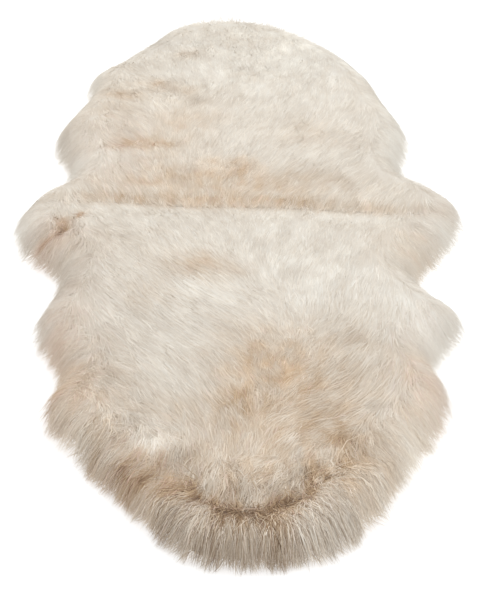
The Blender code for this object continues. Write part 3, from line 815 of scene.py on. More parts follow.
@dataclass
class Locks:
    """Locks of wool on a jittered lattice, each one a little different.

    Attributes:
        pitch: Spacing of the locks across the rug.
        turn: Most that a lock turns off the combing, in degrees.
        lift: Most that it stands above or below the surface.
        tone: Most that it is lighter or darker.
        stretch: Most that it is longer or shorter, as a share.
        seed: Start of its random draws.
        long: How many times longer than wide the locks lie.
        low: The lattice's corner at the left of the near end.
        high: Its corner at the right of the far end.
    """

    pitch: float
    turn: float
    lift: float
    tone: float
    stretch: float
    seed: int
    long: float = 1.0
    low: Pair = (-0.45, -1.05)
    high: Pair = (0.45, 1.05)

    def __post_init__(self) -> None:
        """Throw the dice for the whole lattice."""
        dice = np.random.default_rng(self.seed)
        self.cell = np.array([self.pitch, self.pitch * self.long])
        shape = tuple(((np.array(self.high) - self.low) / self.cell).astype(int) + 3)
        i, j = np.meshgrid(np.arange(shape[0]), np.arange(shape[1]), indexing="ij")
        jitter = dice.uniform(0.1, 0.9, (*shape, 2))
        self.centres = (np.stack([i, j], axis=-1) + jitter) * self.cell + self.low
        self.turns = np.radians(dice.uniform(-self.turn, self.turn, shape))
        self.lifts = dice.uniform(-self.lift, self.lift, shape)
        self.tones = dice.uniform(-self.tone, self.tone, shape)
        self.stretches = 1 + dice.uniform(-self.stretch, self.stretch, shape)

    def nearest(self, points: np.ndarray) -> tuple[np.ndarray, np.ndarray]:
        """Lattice numbers (i, j) of the lock whose centre is nearest to each point."""
        home = np.floor((points - self.low) / self.cell).astype(int)
        shape = np.array(self.centres.shape[:2])
        best = np.full(len(points), np.inf)
        chosen = home.copy()
        for step in np.ndindex(3, 3):
            cell = np.clip(home + step - 1, 0, shape - 1)
            away = self.off_centre(points, (cell[:, 0], cell[:, 1]))
            closer = away < best
            best[closer], chosen[closer] = away[closer], cell[closer]
        return chosen[:, 0], chosen[:, 1]

    def off_centre(
        self, points: np.ndarray, chosen: tuple[np.ndarray, np.ndarray]
    ) -> np.ndarray:
        """How far each point lies from its lock's centre, as a share of the spacing."""
        return np.linalg.norm((points - self.centres[chosen]) / self.cell, axis=1)

    def lift_at(self, points: np.ndarray) -> np.ndarray:
        """How far the lock that is nearest to each point is lifted."""
        return self.lifts[self.nearest(points)]


class Growth(Enum):
    """Where a stand of wool grows."""

    BODY = "all over the hide"
    CURL = "where the wool is curly"
    RIM = "along the hide's edge"
    SKIRT = "round the near end"
    STRAY = "single hairs that stick out"


@dataclass(frozen=True)
class Stand:
    """One stand of wool: where it grows, and how long, thick and dense it is.

    Attributes:
        growth: Where it grows.
        spacing: Distance between strands at their roots.
        points: Points along a strand.
        width: Width of a strand at its middle.
        reach: How far a leaning strand runs over the plan.
        depth: How far below the surface its root is.
        sink: Least and most that a strand lies below the surface.
        draw: How far strands draw together at their fine lock's tip, 0 to 1.
        spread: How far strands of a lock turn apart, in radians.
        rise: How far the tip stands off the layer that the strand lies in.
        tone: How far strands of a lock differ in lightness.
        seed: Start of its random draws.
    """

    growth: Growth
    spacing: float
    points: int
    width: float
    reach: float
    depth: float
    sink: Pair
    draw: float
    spread: float
    rise: float
    tone: float
    seed: int


TOP = Stand(
    growth=Growth.BODY, spacing=0.0030, points=4, width=0.0013, reach=0.050, depth=0.009,
    sink=(-0.0004, 0.0022), draw=0.30, spread=0.14, rise=-0.0010, tone=0.042, seed=22,
)
CURLS = Stand(
    growth=Growth.CURL, spacing=0.0027, points=8, width=0.0010, reach=0.044, depth=0.010,
    sink=(-0.0020, 0.0012), draw=0.70, spread=0.18, rise=0.0008, tone=0.040, seed=26,
)
RIM = Stand(
    growth=Growth.RIM, spacing=0.0019, points=5, width=0.0012, reach=0.050, depth=0.030,
    sink=(0.0, 0.005), draw=0.50, spread=0.16, rise=-0.0010, tone=0.042, seed=23,
)
SKIRT = Stand(
    growth=Growth.SKIRT, spacing=0.0014, points=8, width=0.0009, reach=0.092, depth=0.012,
    sink=(-0.0005, 0.008), draw=0.75, spread=0.24, rise=-0.0010, tone=0.042, seed=24,
)
STRAY = Stand(
    growth=Growth.STRAY, spacing=0.0034, points=4, width=0.0008, reach=0.060, depth=0.010,
    sink=(-0.0020, 0.001), draw=0.0, spread=0.35, rise=0.0030, tone=0.04, seed=25,
)

HIDE_INSET = 0.045       # how far the hide's edge lies inside the wool tips
LOWEST_ROOT = 0.0035     # roots at the hide's edge, just above the hide
LOWEST_HAIR = 0.0014     # no hair's middle comes nearer to the floor
HIGHEST_HAIR = 0.0765    # nor does one stand higher than this
FINE_LOCKS = Locks(
    pitch=0.0068, turn=9, lift=0.0006, tone=0.030, stretch=0.16, seed=31, long=2.0
)
BROAD_LOCKS = Locks(
    pitch=0.019, turn=11, lift=0.0014, tone=0.030, stretch=0.14, seed=32, long=2.2
)
EDGE_LOCKS = Locks(pitch=0.011, turn=0, lift=0.0085, tone=0, stretch=0, seed=33)


@dataclass
class Wool:
    """The strands of both pelts, grown stand by stand over one fleece.

    A field whose name ends in _range holds the bounds of a random draw.

    Attributes:
        fleece: The fleece that the strands follow.
        fine: The small locks that neighbouring strands gather in.
        broad: The large flat locks that the small ones lie in.
        edge: Clumps that make the rug's edge, the seam and the skirt's brink ragged.
        half_size: Half the size of the plan that is sown with roots.
        near_inset: How much further in the roots stop round the near end.
        curly: Curl at which the curly wool starts to grow, and at which it is full.
        rim_belt: How far the rim wool's belt runs outside the body's edge and inside it.
        near_belt: How much wider that belt is round the near end.
        stray_belt: Width of the belt of stray hairs.
        skirt_belt: Distances in from the tips between which the skirt is rooted.
        skirt_valley: How near to the valley line the skirt's roots lie.
        skirt_near: How far towards the near end the skirt starts, 0 to 1.
        least_length: Length of an upright strand as a share of a leaning one's.
        comb_share: Weight of the combing in the rim wool, beside 1 for the way out.
        brink: Least run of a strand next to the skirt's valley.
        curl_loss: How much shorter curly strands run, as a share.
        length_range: A strand's length, as a share of its stand's reach.
        rim_range: Least run of rim wool, as a share of the way to the tips.
        skirt_range: Run of the skirt's wool, as a share of the way to the tips.
        stray_range: How far stray hairs run past the tips.
        far_range: How far they fall short of that where they point to the far end.
        fringe_range: Run past the seam, as a share of the fleece's over_seam.
        brink_range: How far top wool runs past the skirt's valley.
        gather_range: How far a tip is drawn to its lock, as a share of its stand's.
        tip_range: How far inside the outline the longest tips stop.
        stray_tip_range: The same for stray hairs, which end outside it.
        wave: Half the height of a strand's wave, and how much more where it is curly.
        swing: Radians of the wave for each metre of run, and how many more there.
        steepest: Most that a strand rises from its root for its run.
        steepest_rim: The same for rim wool.
        twist: Usual twist of a ribbon about its strand, in radians.
        most_twist: The most of it.
        softness: The fleece's own share in a ribbon's normals.
        taper: Width along a strand: pairs of a place and a share of its width.
        width_range: A strand's width, as a share of its stand's.
    """

    fleece: Fleece
    fine: Locks = field(default_factory=lambda: FINE_LOCKS)
    broad: Locks = field(default_factory=lambda: BROAD_LOCKS)
    edge: Locks = field(default_factory=lambda: EDGE_LOCKS)
    half_size: Pair = (0.36, 0.93)
    near_inset: float = 0.012
    curly: Pair = (0.1, 0.5)
    rim_belt: Pair = (0.004, 0.016)
    near_belt: float = 0.008
    stray_belt: float = 0.030
    skirt_belt: Pair = (0.058, 0.098)
    skirt_valley: float = 0.040
    skirt_near: float = 0.25
    least_length: float = 0.35
    comb_share: float = 0.35
    brink: float = 0.010
    curl_loss: float = 0.30
    length_range: Pair = (0.80, 1.12)
    rim_range: Pair = (0.90, 1.25)
    skirt_range: Pair = (0.45, 1.15)
    stray_range: Pair = (-0.004, 0.010)
    far_range: Pair = (0.012, 0.045)
    fringe_range: Pair = (0.1, 1.5)
    brink_range: Pair = (-0.004, 0.016)
    gather_range: Pair = (0.7, 1.3)
    tip_range: Pair = (-0.002, 0.008)
    stray_tip_range: Pair = (-0.014, -0.002)
    wave: Pair = (0.0007, 0.0028)
    swing: Pair = (90, 200)
    steepest: float = 0.25
    steepest_rim: float = 0.35
    twist: float = 0.10
    most_twist: float = 0.3
    softness: float = 0.75
    taper: tuple[Pair, ...] = ((0.0, 0.8), (0.35, 1.0), (0.80, 0.80), (1.0, 0.0))
    width_range: Pair = (0.65, 1.25)

    def roots(self, stand: Stand, dice: np.random.Generator) -> np.ndarray:
        """Jittered lattice points where the stand grows, (n, 2)."""
        fleece = self.fleece
        xs, ys = (np.arange(-half, half, stand.spacing) for half in self.half_size)
        lattice = np.stack(np.meshgrid(xs, ys), axis=-1).reshape(-1, 2)
        lattice = lattice + dice.uniform(-0.5, 0.5, lattice.shape) * stand.spacing
        inside = fleece.at(fleece.inside, lattice)
        near = smooth_step(fleece.at(fleece.near, lattice), *NEAR_RISE)
        edge = HIDE_INSET + self.near_inset * near
        if stand.growth is Growth.BODY:
            keep = inside > edge
        elif stand.growth is Growth.CURL:
            curl = smooth_step(fleece.at(fleece.curl, lattice), *self.curly)
            keep = (inside > edge) & (dice.random(len(lattice)) < curl)
        elif stand.growth is Growth.RIM:
            outer, inner = self.rim_belt
            keep = (inside > edge - outer) & (inside < edge + inner + self.near_belt * near)
        elif stand.growth is Growth.SKIRT:
            outer, inner = self.skirt_belt
            valley = fleece.at(fleece.valley, lattice)
            keep = (inside > outer) & (inside < inner)
            keep &= (valley < self.skirt_valley) & (near > self.skirt_near)
        else:
            keep = (inside > edge) & (inside < edge + self.stray_belt)
        return lattice[keep]

    def setting_out(
        self, stand: Stand, roots: np.ndarray, dice: np.random.Generator
    ) -> tuple[np.ndarray, np.ndarray]:
        """Which way each strand sets out, and how far it runs over the plan.

        Top wool follows the combing, rim wool partly, and the rest heads straight out.
        A strand's run grows with its lean.  Rim wool and the skirt run for a share of
        the way to the tips, and stray hairs to about the tips.  The far pelt's strands
        stop a little past the seam, and top wool a little past the skirt's valley.

        Args:
            stand: The stand that the strands belong to.
            roots: Root places, (n, 2).
            dice: The stand's random draws.

        Returns:
            The unit vectors, (n, 2), and the runs, (n,).
        """
        fleece, count = self.fleece, len(roots)
        fine, broad = self.fine.nearest(roots), self.broad.nearest(roots)
        centre = self.fine.centres[fine]
        inside = fleece.at(fleece.inside, roots)
        lean = fleece.at(fleece.flow, centre)
        length = np.clip(np.linalg.norm(lean, axis=1), 0, 1)
        reach = stand.reach * (self.least_length + (1 - self.least_length) * length)
        reach = reach * dice.uniform(*self.length_range, count)
        reach = reach * self.fine.stretches[fine] * self.broad.stretches[broad]
        if stand.growth is Growth.RIM:
            lean = unit(lean) * self.comb_share + fleece.at(fleece.outward, centre)
            reach = np.maximum(reach, inside * dice.uniform(*self.rim_range, count))
        elif stand.growth is Growth.SKIRT:
            lean = fleece.at(fleece.outward, centre)
            reach = inside * dice.uniform(*self.skirt_range, count)
        elif stand.growth is Growth.STRAY:
            lean = fleece.at(fleece.outward, centre)
            away = np.clip(lean[:, 1], 0, 1) * dice.uniform(*self.far_range, count)
            reach = inside + dice.uniform(*self.stray_range, count) - away
        way = unit(lean)
        past = np.interp(roots[:, 0], *np.transpose(fleece.over_seam))
        past = past * dice.uniform(*self.fringe_range, count) + self.edge.lift_at(roots)
        seam = from_seam(roots)
        stop = np.where(seam > 0, seam + past, np.inf)
        reach = np.minimum(reach, stop / np.clip(-way[:, 1], 0.2, 1))
        if stand.growth in (Growth.BODY, Growth.CURL):
            above = -fleece.at(fleece.skirt, roots)
            stop = above + dice.uniform(*self.brink_range, count)
            stop = stop + 1.6 * self.edge.lift_at(roots)
            stop = np.where(above > 0, np.maximum(stop, self.brink), np.inf)
            reach = np.minimum(reach, stop * 1.15)
        if stand.growth is Growth.CURL:
            reach = reach * (1 - self.curl_loss * fleece.at(fleece.curl, roots))
        return way, reach

    def plan_curves(
        self, stand: Stand, roots: np.ndarray, dice: np.random.Generator
    ) -> np.ndarray:
        """The strands seen from above.

        Each is a quadratic Bezier curve through two equal halves: the first along the
        combing at its fine lock, the second along the combing where the first ends.
        The tip is drawn towards its lock, and a sine wave that grows towards the tip
        bends the whole.

        Args:
            stand: The stand that the strands belong to.
            roots: Root places, (n, 2).
            dice: The stand's random draws.

        Returns:
            The curves' points, (n, points, 2).
        """
        fleece, count = self.fleece, len(roots)
        fine, broad = self.fine.nearest(roots), self.broad.nearest(roots)
        curl = fleece.at(fleece.curl, roots)
        way, reach = self.setting_out(stand, roots, dice)
        turn = self.fine.turns[fine] * (1 + 3.5 * curl)
        turn = turn + self.broad.turns[broad] * (1 + 2.5 * curl)
        turn = turn + dice.normal(0, stand.spread, count) * (1 + 1.5 * curl)
        start = turned(way, turn)
        bend = roots + start * reach[:, None] / 2
        own = (0.4 + 1.6 * curl)[:, None]
        onward = unit(own * start + unit(fleece.at(fleece.flow, bend)))
        if stand.growth in (Growth.SKIRT, Growth.STRAY):
            onward = unit(0.6 * own * start + fleece.at(fleece.outward, bend))
        tip = bend + onward * reach[:, None] / 2
        gather = stand.draw * dice.uniform(*self.gather_range, count)
        tip = tip + (self.fine.centres[fine] - roots) * gather[:, None]
        limit = self.edge.lift_at(tip) + dice.uniform(*self.tip_range, count)
        limit = limit + 0.018 * fleece.at(fleece.near * fleece.wander, tip)
        if stand.growth is Growth.STRAY:
            limit = dice.uniform(*self.stray_tip_range, count)
        over = np.maximum(limit - fleece.at(fleece.inside, tip), 0)
        tip = tip - fleece.at(fleece.outward, tip) * over[:, None]

        t = along(stand)[..., None]
        plan = (1 - t) ** 2 * roots[:, None] + 2 * t * (1 - t) * bend[:, None]
        plan = plan + t**2 * tip[:, None]
        phase = self.fine.turns[fine] * 40 + dice.normal(0, 0.5, count)
        size = self.wave[0] + self.wave[1] * curl
        swing = np.minimum(reach * (self.swing[0] + self.swing[1] * curl), 1.1 * stand.points)
        wave = np.sin(phase[:, None, None] + t * swing[:, None, None])
        wave = wave * t**0.7 * size[:, None, None]
        return plan + turned(start, math.pi / 2)[:, None] * wave

    def heights(
        self, stand: Stand, plan: np.ndarray, dice: np.random.Generator
    ) -> np.ndarray:
        """Heights of the strands' points: up from the root by a parabola in the first
        two fifths, or four where the wool is upright, and from there along under the
        surface at the depth of the strand's own layer.

        Args:
            stand: The stand that the strands belong to.
            plan: The strands seen from above, (n, points, 2).
            dice: The stand's random draws.

        Returns:
            The heights, (n, points).
        """
        fleece, count = self.fleece, len(plan)
        t = along(stand)
        roots, tips = plan[:, 0], plan[:, -1]
        fine, broad = self.fine.nearest(roots), self.broad.nearest(roots)
        least, most = stand.sink
        sink = least + (most - least) * dice.random(count)
        curl = fleece.at(fleece.curl, roots)
        upright = 1 - np.clip(np.linalg.norm(fleece.at(fleece.flow, roots), axis=1), 0, 1)
        lift = self.fine.lifts[fine] * (1 + 2.0 * curl + 1.5 * upright)
        lift = lift + self.broad.lifts[broad] * (1 + curl)
        lift = lift + 0.003 * curl * (0.5 - self.broad.off_centre(roots, broad))
        flat = smooth_step(fleece.at(fleece.inside, tips), -0.002, 0.040)
        root = np.clip(1 - t / (0.40 + 0.40 * upright[:, None]), 0, 1) ** 2
        rise = np.full(count, stand.rise)
        if stand.growth is Growth.STRAY:
            away = np.clip(fleece.at(fleece.outward, roots)[:, 1], 0, 1)
            rise = rise * (1 + (2 + 9 * away) * dice.random(count) ** 2.5)
        layer = ((sink - lift) * flat)[:, None] - rise[:, None] * smooth_step(t, 0.6, 1.0)
        below = fleece.at(fleece.skirt, roots) - 0.008
        overhung = np.maximum(under_fringe(roots), bell(below, OVERHANG))
        run = np.linalg.norm(tips - roots, axis=1)
        steepest = self.steepest_rim if stand.growth is Growth.RIM else self.steepest
        start = np.minimum(stand.depth * (1 - 0.75 * overhung), steepest * run)
        depth = root * start[:, None] + (1 - root) * layer
        height = np.maximum(fleece.at(fleece.height, plan) - depth, LOWEST_ROOT * root)
        if stand.growth in (Growth.RIM, Growth.SKIRT):
            deep = dice.random(count)[:, None] ** 2
            share = 1 - deep * (1 - root)
            near = fleece.at(fleece.near, tips) ** 0.5
            at_floor = near * smooth_step(fleece.at(fleece.inside, tips), 0.018, 0.006)
            share = share * (1 - at_floor[:, None] * smooth_step(t, 0.72, 1.0))
            height = height * share + LOWEST_HAIR * (1 - share)
        return np.clip(height, LOWEST_HAIR, HIGHEST_HAIR)

    def colour_with_painted_light(
        self, stand: Stand, roots: np.ndarray, plan: np.ndarray, dice: np.random.Generator
    ) -> np.ndarray:
        """Where each point of the strands lies on the wool map.

        A strand takes the fleece's colour from between its root and its own place.  Painted
        light and shade fall on the locks: a highlight along the middle of a curly lock, darker
        and warmer shade in the gaps between locks, and a broad lock lighter at its middle than
        at its edge.  Roots get painted shade, except under the seam's fringe.

        Args:
            stand: The stand that the strands belong to.
            roots: Root places on the plan, (n, 2).
            plan: The strands seen from above, (n, points, 2).
            dice: The stand's random draws.

        Returns:
            The places on the map, (n, points, 2).
        """
        fleece, count = self.fleece, len(roots)
        fine, broad = self.fine.nearest(roots), self.broad.nearest(roots)
        curl, near = fleece.at(fleece.curl, roots), fleece.at(fleece.near, roots)
        away, astray = self.fine.off_centre(roots, fine), self.broad.off_centre(roots, broad)
        # painted light and shade on the locks: gap_shade darkens and warms strands between curly
        # locks, ridge_highlight lights their middles, and crest lights a broad lock's middle and
        # shades its edge
        gap_shade = smooth_step(away, 0.30, 0.62) * curl
        ridge_highlight = (1 - smooth_step(away, 0.05, 0.35)) * curl
        crest = 0.5 - smooth_step(astray, 0.10, 0.60)
        tufted = curl * (0.8 + 1.2 * near)
        tone = dice.normal(0, stand.tone, count) * (0.8 + 0.5 * tufted)
        tone = tone + (0.07 * ridge_highlight - 0.10 * gap_shade) * (0.8 + 0.8 * near)
        tone = tone + (0.02 + 0.11 * curl * (1 + near)) * crest
        tone = tone + self.broad.tones[broad] * (1 + curl + 0.8 * near)
        tone = tone + self.fine.tones[fine] * (1 + 3.0 * tufted)
        body = stand.growth in (Growth.BODY, Growth.CURL)
        carried = 0.45 + 0.45 * curl if body else np.full(count, 0.75)
        colour_from = roots[:, None] + carried[:, None, None] * (plan - roots[:, None])
        light = fleece.at(fleece.lightness, colour_from) + tone[:, None]
        # painted shade at the roots, which lie deep among the other strands
        shade = (0.05 + 0.06 * curl) * (1 - under_fringe(roots)) * (1.0 if body else 0.25)
        light = light - shade[:, None] * np.clip(1 - along(stand) / 0.5, 0, 1)
        warm = fleece.at(fleece.warmth, colour_from) + 0.22 * gap_shade[:, None]
        warm = np.clip(warm + dice.normal(0, 0.05, count)[:, None], 0, 1)
        peach = dice.random(count) < fleece.at(fleece.blush, roots)
        places = np.stack([across_map(warm, peach[:, None]), light], axis=2)
        return np.clip(places, *MAP_RANGE)

    def grow(self, stand: Stand, roots: np.ndarray, dice: np.random.Generator) -> "Strands":
        """Grow one strand from each root, and find how its ribbon faces and is coloured, painted
        light and shade included.

        A ribbon lies level across the strand and is then twisted about it.  Its normals
        lean towards the fleece's own, so that the wool shades as one soft body.

        Args:
            stand: The stand that the strands belong to.
            roots: Root places on the plan, (n, 2).
            dice: The stand's random draws.

        Returns:
            The strands.
        """
        fleece, count = self.fleece, len(roots)
        plan = self.plan_curves(stand, roots, dice)
        height = self.heights(stand, plan, dice)
        path = np.concatenate([plan, height[..., None]], axis=2)
        tangent = unit(np.gradient(path, axis=1))
        level = unit(np.gradient(plan, axis=1))
        level = np.stack([-level[..., 1], level[..., 0], np.zeros_like(height)], axis=2)
        twist = dice.normal(0, self.twist, count)
        twist = np.clip(twist, -self.most_twist, self.most_twist)[:, None, None]
        up = np.cross(tangent, level)
        side = np.cos(twist) * level + np.sin(twist) * up
        own = np.cos(twist) * up - np.sin(twist) * level
        facing = self.softness * fleece.at(fleece.normal, plan) + (1 - self.softness) * own
        profile = np.interp(along(stand)[0], *np.transpose(self.taper))
        width = stand.width * dice.uniform(*self.width_range, count)[:, None] * profile[None]
        places = self.colour_with_painted_light(stand, roots, plan, dice)
        return Strands(path, side, unit(facing), width, places)

    def pieces(self, stand: Stand, shares: dict[str, "Share"]) -> list[bpy.types.Object]:
        """Grow a stand and split it into pieces by where its strands are rooted.

        Args:
            stand: The stand to grow.
            shares: The pieces' names, each with the share of the roots that it takes.

        Returns:
            The pieces, in the order of shares.
        """
        dice = np.random.default_rng(stand.seed)
        roots = self.roots(stand, dice)
        strands = self.grow(stand, roots, dice)
        made = [strands.only(share.holds(roots)).piece(name) for name, share in shares.items()]
        for piece in made:
            piece.visible_shadow = False  # so many fine strands would blacken each other
        return made


def along(stand: Stand) -> np.ndarray:
    """Where the points lie on the stand's strands, from 0 to 1, closer at the root."""
    return (np.linspace(0, 1, stand.points) ** 1.1)[None, :]


def turned(vectors: np.ndarray, angle: np.ndarray | float) -> np.ndarray:
    """(n, 2) vectors turned anticlockwise by an angle each, or all by the same."""
    c, s = np.cos(angle), np.sin(angle)
    x, y = vectors[:, 0], vectors[:, 1]
    return np.stack([x * c - y * s, x * s + y * c], axis=1)


@dataclass(frozen=True)
class Share:
    """Part of the rug's plan: one pelt, and a range across it."""

    pelt: Pelt
    low_x: float = -1.0
    high_x: float = 1.0

    def holds(self, points: np.ndarray) -> np.ndarray:
        """True for each (x, y) point that lies in this part."""
        side = from_seam(points) * self.pelt.value > 0
        return side & (points[:, 0] > self.low_x) & (points[:, 0] <= self.high_x)


@dataclass
class Strands:
    """Many strands as arrays, the first two sizes of each being strands and points.

    Attributes:
        path: Centre lines.
        side: Unit vectors across the ribbons.
        facing: The ribbons' normals.
        width: The ribbons' widths.
        places: Places on the wool map.
        map_width: Width of a ribbon on that map.
    """

    path: np.ndarray
    side: np.ndarray
    facing: np.ndarray
    width: np.ndarray
    places: np.ndarray
    map_width: float = 0.010

    def only(self, chosen: np.ndarray) -> "Strands":
        """The chosen strands alone."""
        arrays = (self.path, self.side, self.facing, self.width, self.places)
        return Strands(*(array[chosen] for array in arrays))

    def piece(self, name: str) -> bpy.types.Object:
        """One mesh of tapering ribbons, with each ribbon's place on the wool map."""
        count, points = self.width.shape
        corners = ribbon_corners(self.path, self.side, self.width)
        faces = ribbon_faces(count, points)
        piece = make_piece(name, corners, faces)
        across = np.zeros_like(self.places)
        across[..., 0] = 1.0
        spots = ribbon_corners(self.places, across, np.full((count, points), self.map_width))
        add_wool_map(piece, faces, spots)
        normals = ribbon_corners(self.facing, self.side * 0, self.width)
        piece.data.normals_split_custom_set_from_vertices(normals.astype(np.float32))
        return piece


def across_map(warm: np.ndarray, peach: np.ndarray | bool) -> np.ndarray:
    """Place across the wool map: grey in the middle, tan to the left, peach to the right."""
    return 0.5 + 0.5 * warm * np.where(peach, 1.0, -1.0)


def add_wool_map(piece: bpy.types.Object, faces: list[np.ndarray], spots: np.ndarray) -> None:
    """Give the piece its wool map from one (across, up) place for each of its points."""
    numbers = np.concatenate([f.ravel() for f in faces])
    wool_map = piece.data.uv_layers.new(name=WOOL_MAP)
    wool_map.data.foreach_set("uv", spots[numbers].astype(np.float32).ravel())


# ------------------------------------------------------------------ hide and underwool
@dataclass
class PeltBody:
    """A closed body that fills one pelt's outline between an upper and a lower skin.

    Attributes:
        fleece: The fleece whose outline it fills.
        pelt: Which pelt it belongs to.
        inset: How far its edge lies inside the wool tips.
        stations: Cross-sections from the seam to the pelt's outer end.
        columns: Points across each section.
        seam_gap: Distance between the body and the seam's own line.
        end_gap: Distance between the last section and the outline's end.
        crowding: Power of the sections' spacing; above 1 draws them to the seam.
        rounds: Times that a section's ends are moved along the outline to meet it.
    """

    fleece: Fleece
    pelt: Pelt
    inset: float
    stations: int
    columns: int
    seam_gap: float = 0.0004
    end_gap: float = 0.0006
    crowding: float = 1.15
    rounds: int = 8

    def plan(self) -> np.ndarray:
        """Sections across the pelt, (stations, columns, 2).

        Each section is a straight line from the left edge to the right one.  The first
        runs along the seam, and they lose its tilt on the way to the outer end, near
        which they lie closer together.
        """
        left, right = self.fleece.outline.sides(self.inset)
        end = right[-1, 1] if self.pelt is Pelt.FAR else left[0, 1]
        share = np.sin(np.linspace(0, math.pi / 2, self.stations)) ** self.crowding
        start = SEAM_Y + self.pelt.value * self.seam_gap
        middle = start + (end - self.pelt.value * self.end_gap - start) * share
        slope = math.tan(SEAM_TILT) * (1 - share) ** 2
        edges = []
        for side in (left, right):
            x = np.interp(middle, side[:, 1], side[:, 0])
            for _ in range(self.rounds):
                x = np.interp(middle + slope * x, side[:, 1], side[:, 0])
            edges.append(np.stack([x, middle + slope * x], axis=1))
        across = (1 - np.cos(np.linspace(0, math.pi, self.columns))) / 2
        across = across[None, :, None]
        return edges[0][:, None] * (1 - across) + edges[1][:, None] * across

    def solid(
        self, name: str, plan: np.ndarray, top: np.ndarray, bottom: np.ndarray
    ) -> tuple[bpy.types.Object, list[np.ndarray]]:
        """Close the body: each section is a ring of its top points and then its bottom
        points back again, the rings are joined, and a cap closes either end.

        Args:
            name: The piece's name.
            plan: The sections from plan().
            top: Height of the upper skin, (stations, columns).
            bottom: Height of the lower skin, (stations, columns), or (stations, 2) for
                a skin that is straight between the edges.

        Returns:
            The closed piece, its faces pointing out, and its faces' corner numbers.
        """
        floor = plan if bottom.shape == top.shape else plan[:, [0, -1]]
        upper = np.concatenate([plan, top[..., None]], axis=2)
        lower = np.concatenate([floor, bottom[..., None]], axis=2)
        rings = np.concatenate([upper, lower[:, ::-1]], axis=1)
        number = np.arange(rings.shape[0] * rings.shape[1]).reshape(rings.shape[:2])
        ahead = np.roll(number, -1, axis=1)
        walls = np.stack([number[:-1], ahead[:-1], ahead[1:], number[1:]], axis=-1)
        caps = np.stack([number[0, ::-1], number[-1]])
        faces = [walls.reshape(-1, 4), caps]
        if self.pelt is Pelt.NEAR:
            faces = [f[:, ::-1] for f in faces]
        return make_piece(name, rings.reshape(-1, 3), faces), faces


@dataclass
class Underwool:
    """The dense wool under the locks, one soft body for each pelt.

    Attributes:
        inset: How far its edge lies inside the wool tips.
        below: How far its top lies under the fleece's surface.
        floor: Height of its bottom.
        thinnest: Its least thickness, at the rim.
        rim: Width of the round at its rim.
        rim_share: Share of its height that it has at the very edge.
        near_back: How much further in that round starts at the near end.
        valley_dip: How much deeper the skirt's valley is in it, over valley_width.
        shade: How much darker it is than the fleece: painted shade, as it lies under the
            strands.
    """

    fleece: Fleece
    pelt: Pelt
    inset: float = 0.027
    below: float = 0.0026
    floor: float = 0.0042
    thinnest: float = 0.0006
    rim: float = 0.030
    rim_share: float = 0.12
    near_back: float = 0.015
    valley_dip: float = 0.007
    valley_width: float = 0.025
    shade: float = 0.05

    def build(self) -> bpy.types.Object:
        """A body whose top lies a little under the fleece, coloured like it but darker with
        painted shade.
        """
        fleece = self.fleece
        body = PeltBody(fleece, self.pelt, self.inset, stations=110, columns=50, seam_gap=0.0)
        plan = body.plan()
        low = self.floor + self.thinnest
        back = self.inset + self.near_back * fleece.at(fleece.near, plan)
        rim = np.clip((fleece.at(fleece.inside, plan) - back) / self.rim, 0, 1)
        full = self.rim_share + (1 - self.rim_share) * quarter_round(rim)
        valley = bell(fleece.at(fleece.valley, plan), self.valley_width)
        top = fleece.at(fleece.height, plan) - self.below - self.valley_dip * valley
        top = np.maximum(top, low)
        top = low + (top - low) * full
        bottom = np.full((len(plan), 2), self.floor)
        name = f"{self.pelt.name.lower()}_underwool"
        piece, faces = body.solid(name, plan, top, bottom)
        across = across_map(fleece.warmth, False)
        # the fleece's colour, darkened by painted shade
        spots = np.stack([across, fleece.lightness - self.shade], axis=-1)
        spots = fleece.at(np.clip(spots, *MAP_RANGE), plan)
        spots = np.concatenate([spots, spots[:, [-1, 0]]], axis=1).reshape(-1, 2)
        add_wool_map(piece, faces, spots)
        piece.visible_shadow = False  # as for the strands that stand on it
        return piece


@dataclass
class Hide:
    """The leather of one pelt, a thin sheet with its suede side on the floor.

    Attributes:
        underside: Least height of its lower skin.
        thickness: Distance between its skins.
        wrinkle: Height of its ripples.
        ripples: Ripples across and along it, in radians for each metre.
    """

    fleece: Fleece
    pelt: Pelt
    inset: float = HIDE_INSET
    underside: float = 0.0008
    thickness: float = 0.0024
    wrinkle: float = 0.0003
    ripples: Pair = (61.0, 23.0)

    def build(self) -> bpy.types.Object:
        """A sheet of even thickness whose skins rise and fall a little, in step."""
        body = PeltBody(self.fleece, self.pelt, self.inset, stations=70, columns=26)
        plan = body.plan()
        wave = np.sin(plan[..., 1] * self.ripples[1])
        ripple = np.sin(plan[..., 0] * self.ripples[0] + 2 * wave) * self.wrinkle / 2
        low = self.underside + self.wrinkle / 2 + ripple
        return body.solid(f"{self.pelt.name.lower()}_hide", plan, low + self.thickness, low)[0]

    def area(self, piece: bpy.types.Object) -> float:
        """Area of one face of the sheet, from half of the closed mesh's surface."""
        sizes = np.zeros(len(piece.data.polygons))
        piece.data.polygons.foreach_get("area", sizes)
        return float(sizes.sum() / 2)


